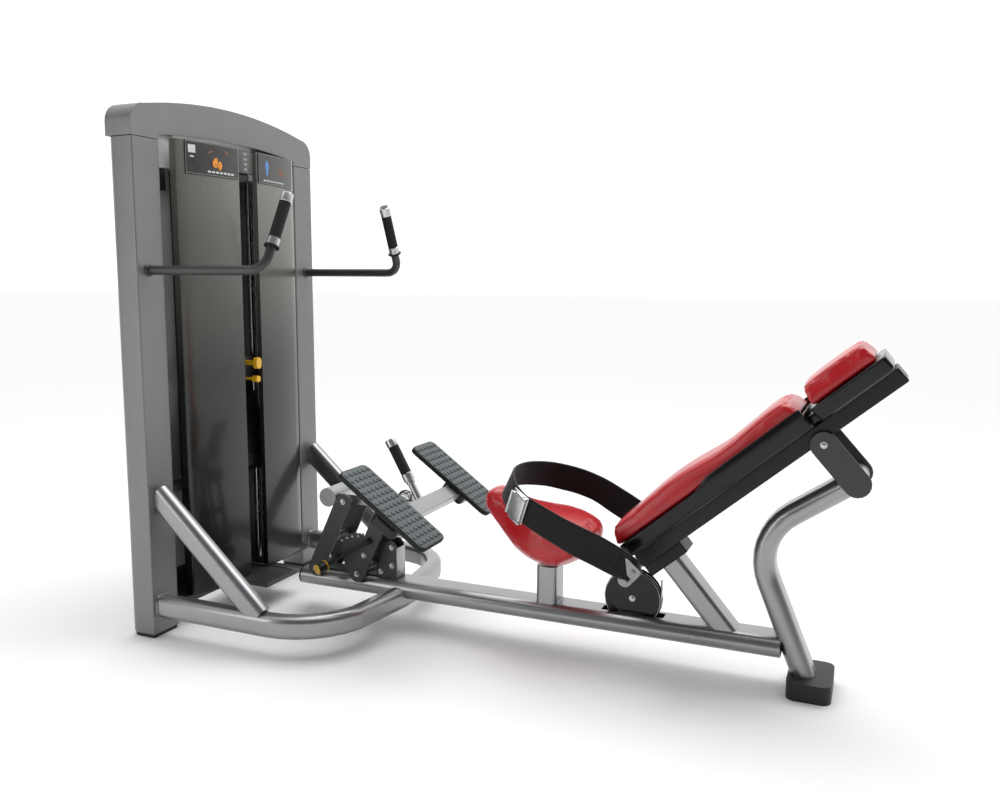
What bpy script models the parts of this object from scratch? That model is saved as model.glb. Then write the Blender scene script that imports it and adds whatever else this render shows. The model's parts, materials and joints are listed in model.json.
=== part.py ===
"""Selectorised hip-thrust machine: weight tower, foot carriage, saddle, hip belt and pivoting back pad.

Metres, +Z up. Lengths along X are counted from the front face of the tower's columns; the
"machine" empty moves them so that the origin is at the bottom centre of the whole machine.
The user sits on the saddle facing -X, so left is -Y and right is +Y.
"""
import math

import bmesh
import bpy
from mathutils import Matrix, Vector

# ---------------------------------------------------------------- driving dimensions
CENTRE_X = 0.9931            # tower front face to the middle of the machine
GAP = 0.0003                 # clearance kept between faces that touch
SHEET = 0.004                # wall of the columns, their cap and the back's box tube

COLUMN_INNER = 0.334         # |y| of a column's inner face
COLUMN_OUTER = 0.443
COLUMN_DEPTH = 0.099
COLUMN_TOP = 1.5155
FOOT_HEIGHT = 0.012
CAP_LOW = 1.5175
CAP_TOP = 1.654
BASE_Z = 0.075

PANEL_INNER = 0.047          # |y| of a front panel's inner and outer edges
PANEL_OUTER = 0.284
PANEL_CREST = 0.058          # how far the inner edge stands in front of the columns
PANEL_DROP = 0.028
PANEL_SKIN = 0.003
PANEL_LOW = 0.096
PANEL_TOP = 1.526

STACK_BACK = -0.080
STACK_FRONT = 0.018
STACK_HALF = 0.145
STACK_X = -0.031             # middle of the stack, on the guide rods
STACK_LOW = 0.4615
PLATE_PITCH = 0.0212
RESTING_PLATES = 14
ROD_Y = 0.110
ROD_R = 0.010
PIN_Z = STACK_LOW + (RESTING_PLATES + 0.5) * PLATE_PITCH
HEAD_LOW = STACK_LOW + (RESTING_PLATES + 1) * PLATE_PITCH
HEAD_TOP = 0.850

CABLE_R = 0.003
TOP_PULLEY = (-0.0605, 1.440, 0.0295)    # x, z and cable radius of each pulley
IDLER = (-0.035, 0.375, 0.055)
BASE_PULLEY = (-0.045, 0.165, 0.045)
DISC = (1.394, 0.192, 0.082)
WHEEL_HALF = 0.011
BORE_R = 0.0085

BEAM_START = 0.269
BEAM_END = 1.812
BEAM_Z = 0.1185
BEAM_W = 0.114
BEAM_H = 0.057
BEAM_TOP = BEAM_Z + BEAM_H / 2

HOOP_Y = 0.402
HOOP_Z = 0.095
HOOP_W = 0.056
HOOP_H = 0.070

BAR_R = 0.014                # stretch bars and their grips
GRIP_R = 0.0175

ARM_FOOT_FRONT = (0.338, 0.160)
ARM_FOOT_REAR = (0.496, 0.160)
ARM_REACH = (0.110, 0.234)
ARM_Y = 0.0595               # inner face of an arm's side plates
ARM_PLATE = 0.008
PLATE_CENTRE = (0.720, 0.449)
PLATE_TILT = math.radians(35.8)
PLATE_LENGTH = 0.342
PLATE_INNER = 0.148
PLATE_OUTER = 0.296
PLATE_T = 0.016

BACK_TILT = math.radians(40.5)
FRAME_LOW = -0.700           # heights square to the back, in its own tilted frame
FRAME_TOP = -0.657
SHELL_TOP = -0.611
PAD_TOP = -0.553
UPPER_PIVOT = (1.899, 0.692)
LOWER_PIVOT = (1.983, 0.597)
LINK_Y = 0.0785
LINK_T = 0.008
BELT_PIVOT = (1.441, 0.331)
BELT_T = 0.008


# ---------------------------------------------------------------- scene and helpers
for old in list(bpy.data.objects):
    bpy.data.objects.remove(old, do_unlink=True)

PARTS = bpy.data.collections.new("hip_thrust_machine")
CUTTERS = bpy.data.collections.new("cutters")
bpy.context.scene.collection.children.link(PARTS)
bpy.context.scene.collection.children.link(CUTTERS)

MACHINE = bpy.data.objects.new("machine", None)
MACHINE.location = (-CENTRE_X, 0, 0)
PARTS.objects.link(MACHINE)

FINISHES = {
    "silver": ((0.30, 0.31, 0.32), 0.38, 0.75),
    "charcoal": ((0.085, 0.088, 0.090), 0.45, 0.6),
    "olive": ((0.12, 0.125, 0.115), 0.25, 0.3),
    "steel": ((0.55, 0.56, 0.57), 0.25, 1.0),
    "black": ((0.012, 0.012, 0.013), 0.5, 0.0),
    "rubber": ((0.03, 0.034, 0.036), 0.75, 0.0),
    "red": ((0.62, 0.02, 0.03), 0.35, 0.0),
    "yellow": ((0.85, 0.55, 0.02), 0.35, 0.0),
    "webbing": ((0.014, 0.014, 0.015), 0.7, 0.0),
}


def material(name, finish):
    """Give one node its own Principled material."""
    colour, roughness, metallic = FINISHES[finish]
    made = bpy.data.materials.new(name)
    made.use_nodes = True
    shader = made.node_tree.nodes["Principled BSDF"]
    shader.inputs["Base Color"].default_value = (*colour, 1.0)
    shader.inputs["Roughness"].default_value = roughness
    shader.inputs["Metallic"].default_value = metallic
    return made


def keep(obj, name, finish, pivot=None):
    """File an object as a part, with its origin on its joint axis when it has one."""
    obj.name = name
    obj.data.name = name
    obj.data.materials.clear()
    obj.data.materials.append(material(name, finish))
    for holder in list(obj.users_collection):
        holder.objects.unlink(obj)
    PARTS.objects.link(obj)
    obj.parent = MACHINE
    if pivot is not None:
        obj.data.transform(Matrix.Translation(-Vector(pivot)))
        obj.location = pivot
    return obj


def tool(obj):
    """File an object as a cutter or as a shape to be joined on."""
    obj.name = "tool_" + obj.name
    for holder in list(obj.users_collection):
        holder.objects.unlink(obj)
    CUTTERS.objects.link(obj)
    obj.parent = MACHINE
    obj.hide_render = True
    obj.display_type = "WIRE"
    return obj


def boolean(obj, other, operation):
    change = obj.modifiers.new(operation.lower(), "BOOLEAN")
    change.operation = operation
    change.solver = "EXACT"
    change.object = other
    return obj


def join(obj, *others):
    for other in others:
        boolean(obj, tool(other), "UNION")
    return obj


def cut(obj, *others):
    for other in others:
        if other.name not in CUTTERS.objects:
            tool(other)
        boolean(obj, other, "DIFFERENCE")
    return obj


def bevel(obj, width, segments=2, angle=40):
    edge = obj.modifiers.new("bevel", "BEVEL")
    edge.width = width
    edge.segments = segments
    edge.limit_method = "ANGLE"
    edge.angle_limit = math.radians(angle)
    return obj


def from_bmesh(name, mesh_data):
    mesh = bpy.data.meshes.new(name)
    bmesh.ops.recalc_face_normals(mesh_data, faces=mesh_data.faces)
    mesh_data.to_mesh(mesh)
    mesh_data.free()
    mesh.shade_smooth()
    mesh.set_sharp_from_angle(angle=math.radians(35))
    obj = bpy.data.objects.new(name, mesh)
    bpy.context.scene.collection.objects.link(obj)
    return obj


def curve_to_mesh(curve_obj):
    """Turn a curve object into a welded mesh object in its place."""
    bpy.context.view_layer.update()
    graph = bpy.context.evaluated_depsgraph_get()
    mesh = bpy.data.meshes.new_from_object(curve_obj.evaluated_get(graph))
    mesh.transform(curve_obj.matrix_world)
    welded = bmesh.new()
    welded.from_mesh(mesh)
    bmesh.ops.remove_doubles(welded, verts=welded.verts, dist=0.00002)
    name = curve_obj.name
    bpy.data.objects.remove(curve_obj, do_unlink=True)
    return from_bmesh(name, welded)


def box(name, low, high):
    """A box between two corners."""
    low, high = Vector(low), Vector(high)
    solid = bmesh.new()
    bmesh.ops.create_cube(solid, size=1.0)
    bmesh.ops.scale(solid, vec=high - low, verts=solid.verts)
    bmesh.ops.translate(solid, vec=(low + high) / 2, verts=solid.verts)
    return from_bmesh(name, solid)


def pair_box(name, x_range, y_range, z_range, side):
    """A box on the left (side -1) or right (side 1), with y_range given as |y|."""
    near, far = sorted((side * y_range[0], side * y_range[1]))
    return box(name, (x_range[0], near, z_range[0]), (x_range[1], far, z_range[1]))


def rod(name, start, end, radius, sides=24):
    """A round rod between two points."""
    start, end = Vector(start), Vector(end)
    solid = bmesh.new()
    bmesh.ops.create_cone(solid, cap_ends=True, segments=sides, radius1=radius, radius2=radius,
                          depth=(end - start).length)
    turn = (end - start).to_track_quat("Z", "Y").to_matrix().to_4x4()
    bmesh.ops.transform(solid, matrix=Matrix.Translation((start + end) / 2) @ turn, verts=solid.verts)
    return from_bmesh(name, solid)


def cross_rod(name, x, z, radius, half, sides=24):
    """A round rod along Y, from -half to half."""
    return rod(name, (x, -half, z), (x, half, z), radius, sides)


def rounded(corners, steps=5):
    """Round each (a, b, radius) corner of a closed outline with an arc."""
    points = []
    count = len(corners)
    for index, (a, b, radius) in enumerate(corners):
        here = Vector((a, b))
        before = (Vector(corners[index - 1][:2]) - here).normalized()
        after = (Vector(corners[(index + 1) % count][:2]) - here).normalized()
        if radius <= 0:
            points.append(here)
            continue
        half = before.angle(after) / 2
        centre = here + (before + after).normalized() * (radius / math.sin(half))
        first = here + before * (radius / math.tan(half)) - centre
        last = here + after * (radius / math.tan(half)) - centre
        sweep = first.angle_signed(last)
        for step in range(steps + 1):
            spoke = first.copy()
            spoke.rotate(Matrix.Rotation(-sweep * step / steps, 2))
            points.append(centre + spoke)
    return points


def section(width, height, radius, steps=5):
    """A rounded rectangle about the origin."""
    a, b = width / 2, height / 2
    return rounded([(-a, -b, radius), (a, -b, radius), (a, b, radius), (-a, b, radius)], steps)


def stadium(first, last, radius, steps=8):
    """An outline with a half circle about each of two centres."""
    first, last = Vector(first), Vector(last)
    along = math.atan2(last.y - first.y, last.x - first.x)
    points = []
    for centre, start in ((last, along - math.pi / 2), (first, along + math.pi / 2)):
        for step in range(steps + 1):
            angle = start + math.pi * step / steps
            points.append(centre + radius * Vector((math.cos(angle), math.sin(angle))))
    return points


AXES = {
    "xy": Matrix(((1, 0, 0, 0), (0, 1, 0, 0), (0, 0, 1, 0), (0, 0, 0, 1))),
    "xz": Matrix(((1, 0, 0, 0), (0, 0, -1, 0), (0, 1, 0, 0), (0, 0, 0, 1))),
    "yz": Matrix(((0, 0, 1, 0), (1, 0, 0, 0), (0, 1, 0, 0), (0, 0, 0, 1))),
}
NORMALS = {"xy": Vector((0, 0, 1)), "xz": Vector((0, 1, 0)), "yz": Vector((1, 0, 0))}


def slab(name, plane, outlines, low, high):
    """Flat outlines (the second is a hole) extruded from low to high across their plane."""
    curve = bpy.data.curves.new(name, "CURVE")
    curve.dimensions = "2D"
    curve.fill_mode = "BOTH"
    curve.extrude = (high - low) / 2
    for outline in outlines:
        spline = curve.splines.new("POLY")
        spline.points.add(len(outline) - 1)
        for point, place in zip(spline.points, outline):
            point.co = (place[0], place[1], 0, 1)
        spline.use_cyclic_u = True
    obj = bpy.data.objects.new(name, curve)
    bpy.context.scene.collection.objects.link(obj)
    obj.matrix_world = Matrix.Translation(NORMALS[plane] * (low + high) / 2) @ AXES[plane]
    return curve_to_mesh(obj)


def sweep(name, path, profile):
    """A profile outline carried along a path."""
    shape = bpy.data.curves.new(name + "_profile", "CURVE")
    shape.dimensions = "2D"
    edge = shape.splines.new("POLY")
    edge.points.add(len(profile) - 1)
    for point, place in zip(edge.points, profile):
        point.co = (place[0], place[1], 0, 1)
    edge.use_cyclic_u = True
    guide = bpy.data.objects.new(name + "_profile", shape)
    bpy.context.scene.collection.objects.link(guide)
    curve = bpy.data.curves.new(name, "CURVE")
    curve.dimensions = "3D"
    curve.bevel_mode = "OBJECT"
    curve.bevel_object = guide
    curve.use_fill_caps = True
    curve.twist_mode = "MINIMUM"
    spline = curve.splines.new("POLY")
    spline.points.add(len(path) - 1)
    for point, place in zip(spline.points, path):
        point.co = (*place, 1)
    obj = bpy.data.objects.new(name, curve)
    bpy.context.scene.collection.objects.link(obj)
    made = curve_to_mesh(obj)
    bpy.data.objects.remove(guide, do_unlink=True)
    return made


def wire(name, path, radius, resolution=2):
    """A round bar or cable along a path."""
    curve = bpy.data.curves.new(name, "CURVE")
    curve.dimensions = "3D"
    curve.bevel_depth = radius
    curve.bevel_resolution = resolution
    curve.use_fill_caps = True
    spline = curve.splines.new("POLY")
    spline.points.add(len(path) - 1)
    for point, place in zip(spline.points, path):
        point.co = (*place, 1)
    obj = bpy.data.objects.new(name, curve)
    bpy.context.scene.collection.objects.link(obj)
    return curve_to_mesh(obj)


def fillet(before, corner, after, radius, steps=6):
    """Points of an arc that rounds one corner of a path in space."""
    before, corner, after = Vector(before), Vector(corner), Vector(after)
    back = (before - corner).normalized()
    ahead = (after - corner).normalized()
    half = back.angle(ahead) / 2
    centre = corner + (back + ahead).normalized() * (radius / math.sin(half))
    first = corner + back * (radius / math.tan(half)) - centre
    last = corner + ahead * (radius / math.tan(half)) - centre
    axis = first.cross(last).normalized()
    angle = first.angle(last)
    return [centre + Matrix.Rotation(angle * step / steps, 3, axis) @ first for step in range(steps + 1)]


def arc(x, z, radius, start, end, steps):
    """Points of an arc about a Y axis; angles are in degrees from +X towards +Z."""
    points = []
    for step in range(steps + 1):
        angle = math.radians(start + (end - start) * step / steps)
        points.append((x + radius * math.cos(angle), 0, z + radius * math.sin(angle)))
    return points


def loft(name, rings):
    """A closed solid through rings of equal point count, with flat ends."""
    solid = bmesh.new()
    loops = []
    for ring in rings:
        verts = [solid.verts.new(place) for place in ring]
        loops.append([solid.edges.new((verts[i - 1], verts[i])) for i in range(len(verts))])
    for first, second in zip(loops, loops[1:]):
        bmesh.ops.bridge_loops(solid, edges=first + second)
    bmesh.ops.holes_fill(solid, edges=loops[0] + loops[-1], sides=0)
    return from_bmesh(name, solid)


def tilted(u, y, v):
    """A point of the back, from its tilted frame: u up the back, v out of the pad."""
    cos, sin = math.cos(BACK_TILT), math.sin(BACK_TILT)
    return Vector((u * cos - v * sin, y, u * sin + v * cos))


def tilted_box(name, u_range, y_range, v_range):
    """A box square to the back."""
    solid = box(name, (u_range[0], y_range[0], v_range[0]), (u_range[1], y_range[1], v_range[1]))
    solid.data.transform(Matrix.Rotation(-BACK_TILT, 4, "Y"))
    return solid


def footrest(a, y, n):
    """A point of the foot carriage: a down the foot plates, n out of them."""
    cos, sin = math.cos(PLATE_TILT), math.sin(PLATE_TILT)
    return Vector((PLATE_CENTRE[0] + a * cos + n * sin, y, PLATE_CENTRE[1] - a * sin + n * cos))


def footrest_solid(obj):
    """Tilt a solid drawn with X down the foot plates and Z out of them into its place."""
    turn = Matrix.Rotation(PLATE_TILT, 4, "Y")
    obj.data.transform(Matrix.Translation((PLATE_CENTRE[0], 0, PLATE_CENTRE[1])) @ turn)
    return obj


def pulley(name, place, finish):
    """A grooved wheel that turns about a Y axis, bored for its axle."""
    x, z, cable = place
    groove = cable - CABLE_R - 0.0004
    rim = cable + 0.003
    profile = [(BORE_R, WHEEL_HALF), (rim, WHEEL_HALF), (rim, 0.0065), (groove, 0.0036),
               (groove, -0.0036), (rim, -0.0065), (rim, -WHEEL_HALF), (BORE_R, -WHEEL_HALF)]
    outline = bmesh.new()
    corners = [outline.verts.new((radius, 0, height)) for radius, height in profile]
    for index, corner in enumerate(corners):
        outline.edges.new((corner, corners[(index + 1) % len(corners)]))
    mesh = bpy.data.meshes.new(name)
    outline.to_mesh(mesh)
    outline.free()
    wheel = bpy.data.objects.new(name, mesh)
    bpy.context.scene.collection.objects.link(wheel)
    turn = wheel.modifiers.new("turned", "SCREW")
    turn.axis = "Z"
    turn.steps = 20
    turn.render_steps = 20
    turn.use_merge_vertices = True
    turn.merge_threshold = 0.0001
    keep(wheel, name, finish)
    wheel.rotation_euler = (math.radians(90), 0, 0)
    wheel.location = (x, 0, z)
    return wheel


def axle(name, place, half):
    return cross_rod(name, place[0], place[1], BORE_R - GAP, half, 20)


# ---------------------------------------------------------------- tower
def panel_x(y):
    """How far a front panel's middle skin stands in front of the columns at |y|."""
    share = (y - PANEL_INNER) / (PANEL_OUTER - PANEL_INNER)
    return PANEL_CREST - PANEL_DROP * share * share


def skin(name, profile, low, high, thickness):
    """A thin upright sheet that follows a plan profile."""
    sheet = bmesh.new()
    verts = [sheet.verts.new((x, y, low)) for x, y in profile]
    edges = [sheet.edges.new(pair) for pair in zip(verts, verts[1:])]
    raised = bmesh.ops.extrude_edge_only(sheet, edges=edges)["geom"]
    top = [item for item in raised if isinstance(item, bmesh.types.BMVert)]
    bmesh.ops.translate(sheet, vec=(0, 0, high - low), verts=top)
    obj = from_bmesh(name, sheet)
    wall = obj.modifiers.new("wall", "SOLIDIFY")
    wall.thickness = thickness
    wall.offset = 0.0
    return obj


def build_tower():
    for side, name in ((-1, "left"), (1, "right")):
        plan = rounded([(0, side * COLUMN_INNER, 0.006), (0, side * COLUMN_OUTER, 0.004),
                        (-COLUMN_DEPTH, side * COLUMN_OUTER, 0.034),
                        (-COLUMN_DEPTH, side * COLUMN_INNER, 0.006)])
        pad = rounded([(-SHEET, side * (COLUMN_INNER + SHEET), 0.004),
                       (-SHEET, side * (COLUMN_OUTER - SHEET), 0.004),
                       (SHEET - COLUMN_DEPTH, side * (COLUMN_OUTER - SHEET), 0.030),
                       (SHEET - COLUMN_DEPTH, side * (COLUMN_INNER + SHEET), 0.004)])
        keep(slab("column", "xy", [plan, pad], FOOT_HEIGHT, COLUMN_TOP), "column_" + name, "silver")
        foot = slab("foot", "xy", [pad], 0, FOOT_HEIGHT - GAP)
        keep(foot, "column_foot_" + name, "black")
        front = [PANEL_OUTER - step * (PANEL_OUTER - PANEL_INNER) / 8 for step in range(9)]
        profile = [(0.000, side * 0.292), (0.022, side * 0.291)]
        profile += [(panel_x(y), side * y) for y in front]
        profile += [(PANEL_CREST - 0.016, side * (PANEL_INNER - 0.001))]
        panel = skin("panel", profile, PANEL_LOW, PANEL_TOP, PANEL_SKIN)
        keep(panel, "front_panel_" + name, "olive")
        strip = [0.268 - step * 0.216 / 6 for step in range(7)]
        card = skin("card", [(panel_x(y) + 0.0036, side * y) for y in strip], 1.425, 1.5245, 0.0022)
        keep(card, "placard_" + name, "black")
        guide = rod("guide", (STACK_X, side * ROD_Y, BASE_Z + 0.0205),
                    (STACK_X, side * ROD_Y, 1.440 - GAP), ROD_R, 20)
        keep(guide, "guide_rod_" + name, "steel")

    cap_radius, arch_radius, corner = 1.90, 2.79, 0.055
    end_y = COLUMN_OUTER - corner
    top = []
    for step in range(-8, 9):
        y = end_y * step / 8
        top.append((y, CAP_TOP - y * y / (2 * cap_radius)))
    shoulder = top[-1][1] - corner
    right = [(end_y + corner * math.cos(math.radians(a)), shoulder + corner * math.sin(math.radians(a)))
             for a in range(75, -1, -15)]
    left = [(-y, z) for y, z in reversed(right)]
    under = []
    for step in range(8, -9, -1):
        y = COLUMN_INNER * step / 8
        under.append((y, 1.552 - y * y / (2 * arch_radius)))
    outline = top + right + [(COLUMN_OUTER, CAP_LOW), (COLUMN_INNER, CAP_LOW)] + under
    outline += [(-COLUMN_INNER, CAP_LOW), (-COLUMN_OUTER, CAP_LOW)] + left
    cap = bevel(slab("cap", "yz", [outline], -COLUMN_DEPTH, 0), 0.007)
    room = [(y, z - 2 * SHEET) for y, z in top]
    inner, outer = COLUMN_INNER + SHEET, COLUMN_OUTER - SHEET
    room += [(outer - 0.016, shoulder + 0.020), (outer, shoulder), (outer, CAP_LOW - 0.01),
             (inner, CAP_LOW - 0.01), (inner, 1.530)]
    room += [(y, z + SHEET) for y, z in under[1:-1]]
    room += [(-inner, 1.530), (-inner, CAP_LOW - 0.01), (-outer, CAP_LOW - 0.01), (-outer, shoulder),
             (-outer + 0.016, shoulder + 0.020)]
    cut(cap, slab("room", "yz", [room], 2 * SHEET - COLUMN_DEPTH, -2 * SHEET))
    keep(cap, "top_cap", "silver")

    bar = box("bar", (-0.060, -COLUMN_INNER + GAP, 1.440), (-0.020, COLUMN_INNER - GAP, 1.528))
    keep(cut(bar, box("notch", (-0.10, -0.030, 1.40), (0.05, 0.030, 1.480))), "top_crossbar", "steel")

    base = box("base", (-0.094, -COLUMN_INNER + GAP, BASE_Z), (0.020, COLUMN_INNER - GAP, 0.095))
    tongue = box("tongue", (0.0, -0.100, BASE_Z + 0.003), (0.165, 0.100, 0.0935))
    cheeks = [pair_box("cheek", (-0.062, -0.028), (0.0145, 0.0205), (0.090, 0.185), side)
              for side in (-1, 1)]
    keep(join(base, tongue, *cheeks, axle("axle", BASE_PULLEY, 0.0175)), "tower_base", "charcoal")

    panel = box("rear", (-0.0985, -COLUMN_INNER + GAP, BASE_Z), (-0.0955, COLUMN_INNER - GAP, 1.515))
    keep(panel, "rear_panel", "steel")

    support = box("support", (-0.055, -COLUMN_INNER + GAP, 0.438), (-0.010, COLUMN_INNER - GAP, 0.4607))
    hangers = [pair_box("hanger", (-0.050, -0.020), (0.0145, 0.0205), (0.355, 0.445), side)
               for side in (-1, 1)]
    sockets = [rod("socket", (STACK_X, side * ROD_Y, 0.40), (STACK_X, side * ROD_Y, 0.50),
                   ROD_R + GAP, 20) for side in (-1, 1)]
    keep(cut(join(support, *hangers, axle("axle", IDLER, 0.0175)), *sockets), "stack_support", "charcoal")

    yokes = [pair_box("yoke", (-0.078, 0.004), (0.0145, 0.0205), (1.422, 1.4795), side)
             for side in (-1, 1)]
    bridge = box("bridge", (-0.078, -0.020, 1.4735), (-0.010, 0.020, 1.4795))
    nose = cross_rod("nose", 0.016, 1.441, 0.027, 0.024, 28)
    card = box("card", (0.0445, -0.0425, 1.4505), (0.0485, 0.0425, 1.5245))
    stay = box("stay", (0.004, -0.012, 1.455), (0.046, 0.012, 1.4735))
    keep(join(*yokes, bridge, nose, card, stay, axle("axle", TOP_PULLEY, 0.0175)),
         "top_pulley_bracket", "black")

    for name, place in (("top_pulley", TOP_PULLEY), ("idler_pulley", IDLER), ("base_pulley", BASE_PULLEY)):
        pulley(name, place, "black")


# ---------------------------------------------------------------- weight stack
def plate_block(name, low, count):
    """Plates of the stack in one block, parted by shallow grooves and bored for rods and stem."""
    groove, depth = 0.0020, 0.0018
    block = bmesh.new()
    bmesh.ops.create_grid(block, x_segments=1, y_segments=1, size=0.5)
    width, length = STACK_FRONT - STACK_BACK, 2 * STACK_HALF
    bmesh.ops.scale(block, vec=(width, length, 1), verts=block.verts)
    bmesh.ops.translate(block, vec=((STACK_FRONT + STACK_BACK) / 2, 0, low), verts=block.verts)
    centre = Vector(((STACK_FRONT + STACK_BACK) / 2, 0, 0))
    face = list(block.faces)
    bottom = bmesh.ops.duplicate(block, geom=face)["geom"]
    bmesh.ops.reverse_faces(block, faces=[item for item in bottom if isinstance(item, bmesh.types.BMFace)])

    def raise_by(rise, inset):
        made = bmesh.ops.extrude_face_region(block, geom=face)["geom"]
        bmesh.ops.delete(block, geom=face, context="FACES_ONLY")
        ring = [item for item in made if isinstance(item, bmesh.types.BMVert)]
        face[:] = [item for item in made if isinstance(item, bmesh.types.BMFace)]
        bmesh.ops.translate(block, vec=(0, 0, rise), verts=ring)
        for vert in ring:
            vert.co.x += math.copysign(inset, centre.x - vert.co.x)
            vert.co.y += math.copysign(inset, centre.y - vert.co.y)

    for index in range(count):
        raise_by(PLATE_PITCH - groove, 0)
        if index < count - 1:
            raise_by(0, depth)
            raise_by(groove, 0)
            raise_by(0, -depth)
    bmesh.ops.remove_doubles(block, verts=block.verts, dist=0.000001)
    obj = from_bmesh(name, block)
    drills = [rod("drill", (STACK_X, side * ROD_Y, 0.3), (STACK_X, side * ROD_Y, 1.0), 0.0125, 20)
              for side in (-1, 1)]
    return cut(obj, *drills)


def build_stack():
    resting = plate_block("resting", STACK_LOW, RESTING_PLATES)
    keep(resting, "plates_resting", "black")
    selected = plate_block("selected", HEAD_LOW - PLATE_PITCH, 1)
    bore = rod("bore", (-0.031, 0, PIN_Z), (0.1, 0, PIN_Z), 0.0055, 20)
    keep(cut(selected, bore), "plate_selected", "black")

    head = box("head", (STACK_BACK, -STACK_HALF, HEAD_LOW), (STACK_FRONT, STACK_HALF, 0.812))
    boss = box("boss", (-0.060, -0.045, 0.805), (0.024, 0.045, HEAD_TOP - 0.004))
    eye = rod("eye", (STACK_X, 0, 0.84), (STACK_X, 0, HEAD_TOP), 0.010, 20)
    drills = [rod("drill", (STACK_X, side * ROD_Y, 0.7), (STACK_X, side * ROD_Y, 0.9), 0.0125, 20)
              for side in (-1, 1)]
    keep(cut(join(head, boss, eye), *drills), "stack_head", "black")

    shank = rod("shank", (-0.029, 0, PIN_Z), (0.058, 0, PIN_Z), 0.005, 20)
    knob = rod("knob", (0.056, 0, PIN_Z), (0.078, 0, PIN_Z), 0.011, 24)
    keep(join(shank, knob), "selector_pin", "yellow", (0.018, 0, PIN_Z))

    dial = rod("dial", (0.0243, 0, 0.823), (0.070, 0, 0.823), 0.009, 24)
    handle = slab("handle", "yz", [stadium((0, 0.817), (0, 0.829), 0.0135)], 0.066, 0.082)
    keep(join(dial, bevel(handle, 0.003)), "addon_dial", "yellow", (0.0243, 0, 0.823))

    lift = wire("lift", [(STACK_X, 0, HEAD_TOP + GAP), (STACK_X, 0, TOP_PULLEY[1] - 0.0015)], CABLE_R)
    keep(lift, "lift_cable", "steel")
    route = arc(*TOP_PULLEY, 0, 180, 12)
    route += arc(*BASE_PULLEY, 180, 270, 8)
    route += arc(*DISC, -90, 0, 10)
    route += [(DISC[0] + DISC[2], 0, DISC[1] + 0.060)]
    keep(wire("drive", route, CABLE_R), "drive_cable", "steel")


# ---------------------------------------------------------------- base frame
def beam_solid(extra=0.0, hollow=True):
    """The long flat-oval beam, or a slightly larger copy to cut its neighbours with."""
    outer = section(BEAM_W + 2 * extra, BEAM_H + 2 * extra, BEAM_H / 2 + extra - 0.00001, 8)
    outlines = [[(y, z + BEAM_Z) for y, z in outer]]
    if hollow:
        wall = 0.0035
        inner = section(BEAM_W - 2 * wall, BEAM_H - 2 * wall, BEAM_H / 2 - wall - 0.00001, 8)
        outlines.append([(y, z + BEAM_Z) for y, z in inner])
    return slab("beam", "yz", outlines, BEAM_START - extra, BEAM_END + extra)


def hoop_path():
    """Middle line of the base hoop, from the left column round to the right one."""
    bend_x, bend_y, radius = 0.400, 0.185, 0.217
    left = [(GAP, -HOOP_Y, HOOP_Z)]
    for step in range(7):
        angle = math.radians(-90 + 72 * step / 6)
        left.append((bend_x + radius * math.cos(angle), -bend_y + radius * math.sin(angle), HOOP_Z))
    left.append((0.640, -0.030, HOOP_Z))
    return left + [(x, -y, z) for x, y, z in reversed(left)]


def hoop_solid(extra=0.0):
    shape = section(HOOP_W + 2 * extra, HOOP_H + 2 * extra, 0.020 + extra, 3)
    return sweep("hoop", hoop_path(), shape)


def rear_post_path():
    """Middle line of the bent rear post, from its foot up to the link pivot."""
    foot, corner = (1.8785, 0, 0.030), (1.7205, 0, 0.4147)
    end = (1.9650, 0, 0.584)
    return [foot] + fillet(foot, corner, end, 0.160, 8) + [end]


def rear_post_solid(extra=0.0):
    width, depth = 0.100 + 2 * extra, 0.060 + 2 * extra
    return sweep("post", rear_post_path(), section(width, depth, depth / 2 - 0.00001, 6))


def build_frame():
    beam = beam_solid()
    slot = box("slot", (DISC[0] - 0.092, -0.019, 0.130), (DISC[0] + 0.092, 0.019, 0.160))
    keep(cut(beam, slot, rear_post_solid(GAP)), "main_beam", "silver")

    keep(cut(hoop_solid(), beam_solid(GAP, False)), "base_hoop", "silver")
    for side, name in ((-1, "left"), (1, "right")):
        path = [(GAP, side * 0.400, 0.450), (0.372, side * 0.403, 0.115)]
        brace = sweep("brace", path, section(0.046, 0.076, 0.020, 4))
        back = box("back", (-0.2, -0.6, 0.2), (GAP, 0.6, 0.7))
        keep(cut(brace, back, hoop_solid(GAP)), "brace_" + name, "silver")

    post = cut(rear_post_solid(), box("ground", (1.7, -0.2, -0.1), (2.0, 0.2, 0.0503)))
    pivot = cross_rod("pivot", *LOWER_PIVOT, 0.0265, LINK_Y - 0.0005, 28)
    keep(join(post, pivot), "rear_post", "silver")
    pad = section(0.116, 0.180, 0.026, 5)
    foot = slab("rear_foot", "xy", [[(x + 1.890, y) for x, y in pad]], 0, 0.050)
    keep(bevel(foot, 0.004), "rear_foot", "rubber")

    top = tilted(1.353, 0, FRAME_LOW - 0.0378)
    low = tilted(1.353, 0, FRAME_LOW - 0.0378 - 0.250)
    strut = sweep("strut", [low, top], section(0.080, 0.060, 0.014, 4))
    keep(cut(strut, beam_solid(GAP, False)), "rear_strut", "silver")
    block = tilted_box("block", (1.285, 1.415), (-0.046, 0.046), (FRAME_LOW - 0.0375, FRAME_LOW - GAP))
    keep(bevel(block, 0.004), "rest_block", "black")

    seat_post = sweep("seat_post", [(1.1355, 0, 0.120), (1.1355, 0, 0.2590)], section(0.064, 0.084, 0.016, 4))
    keep(cut(seat_post, beam_solid(GAP, False)), "seat_post", "silver")


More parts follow.
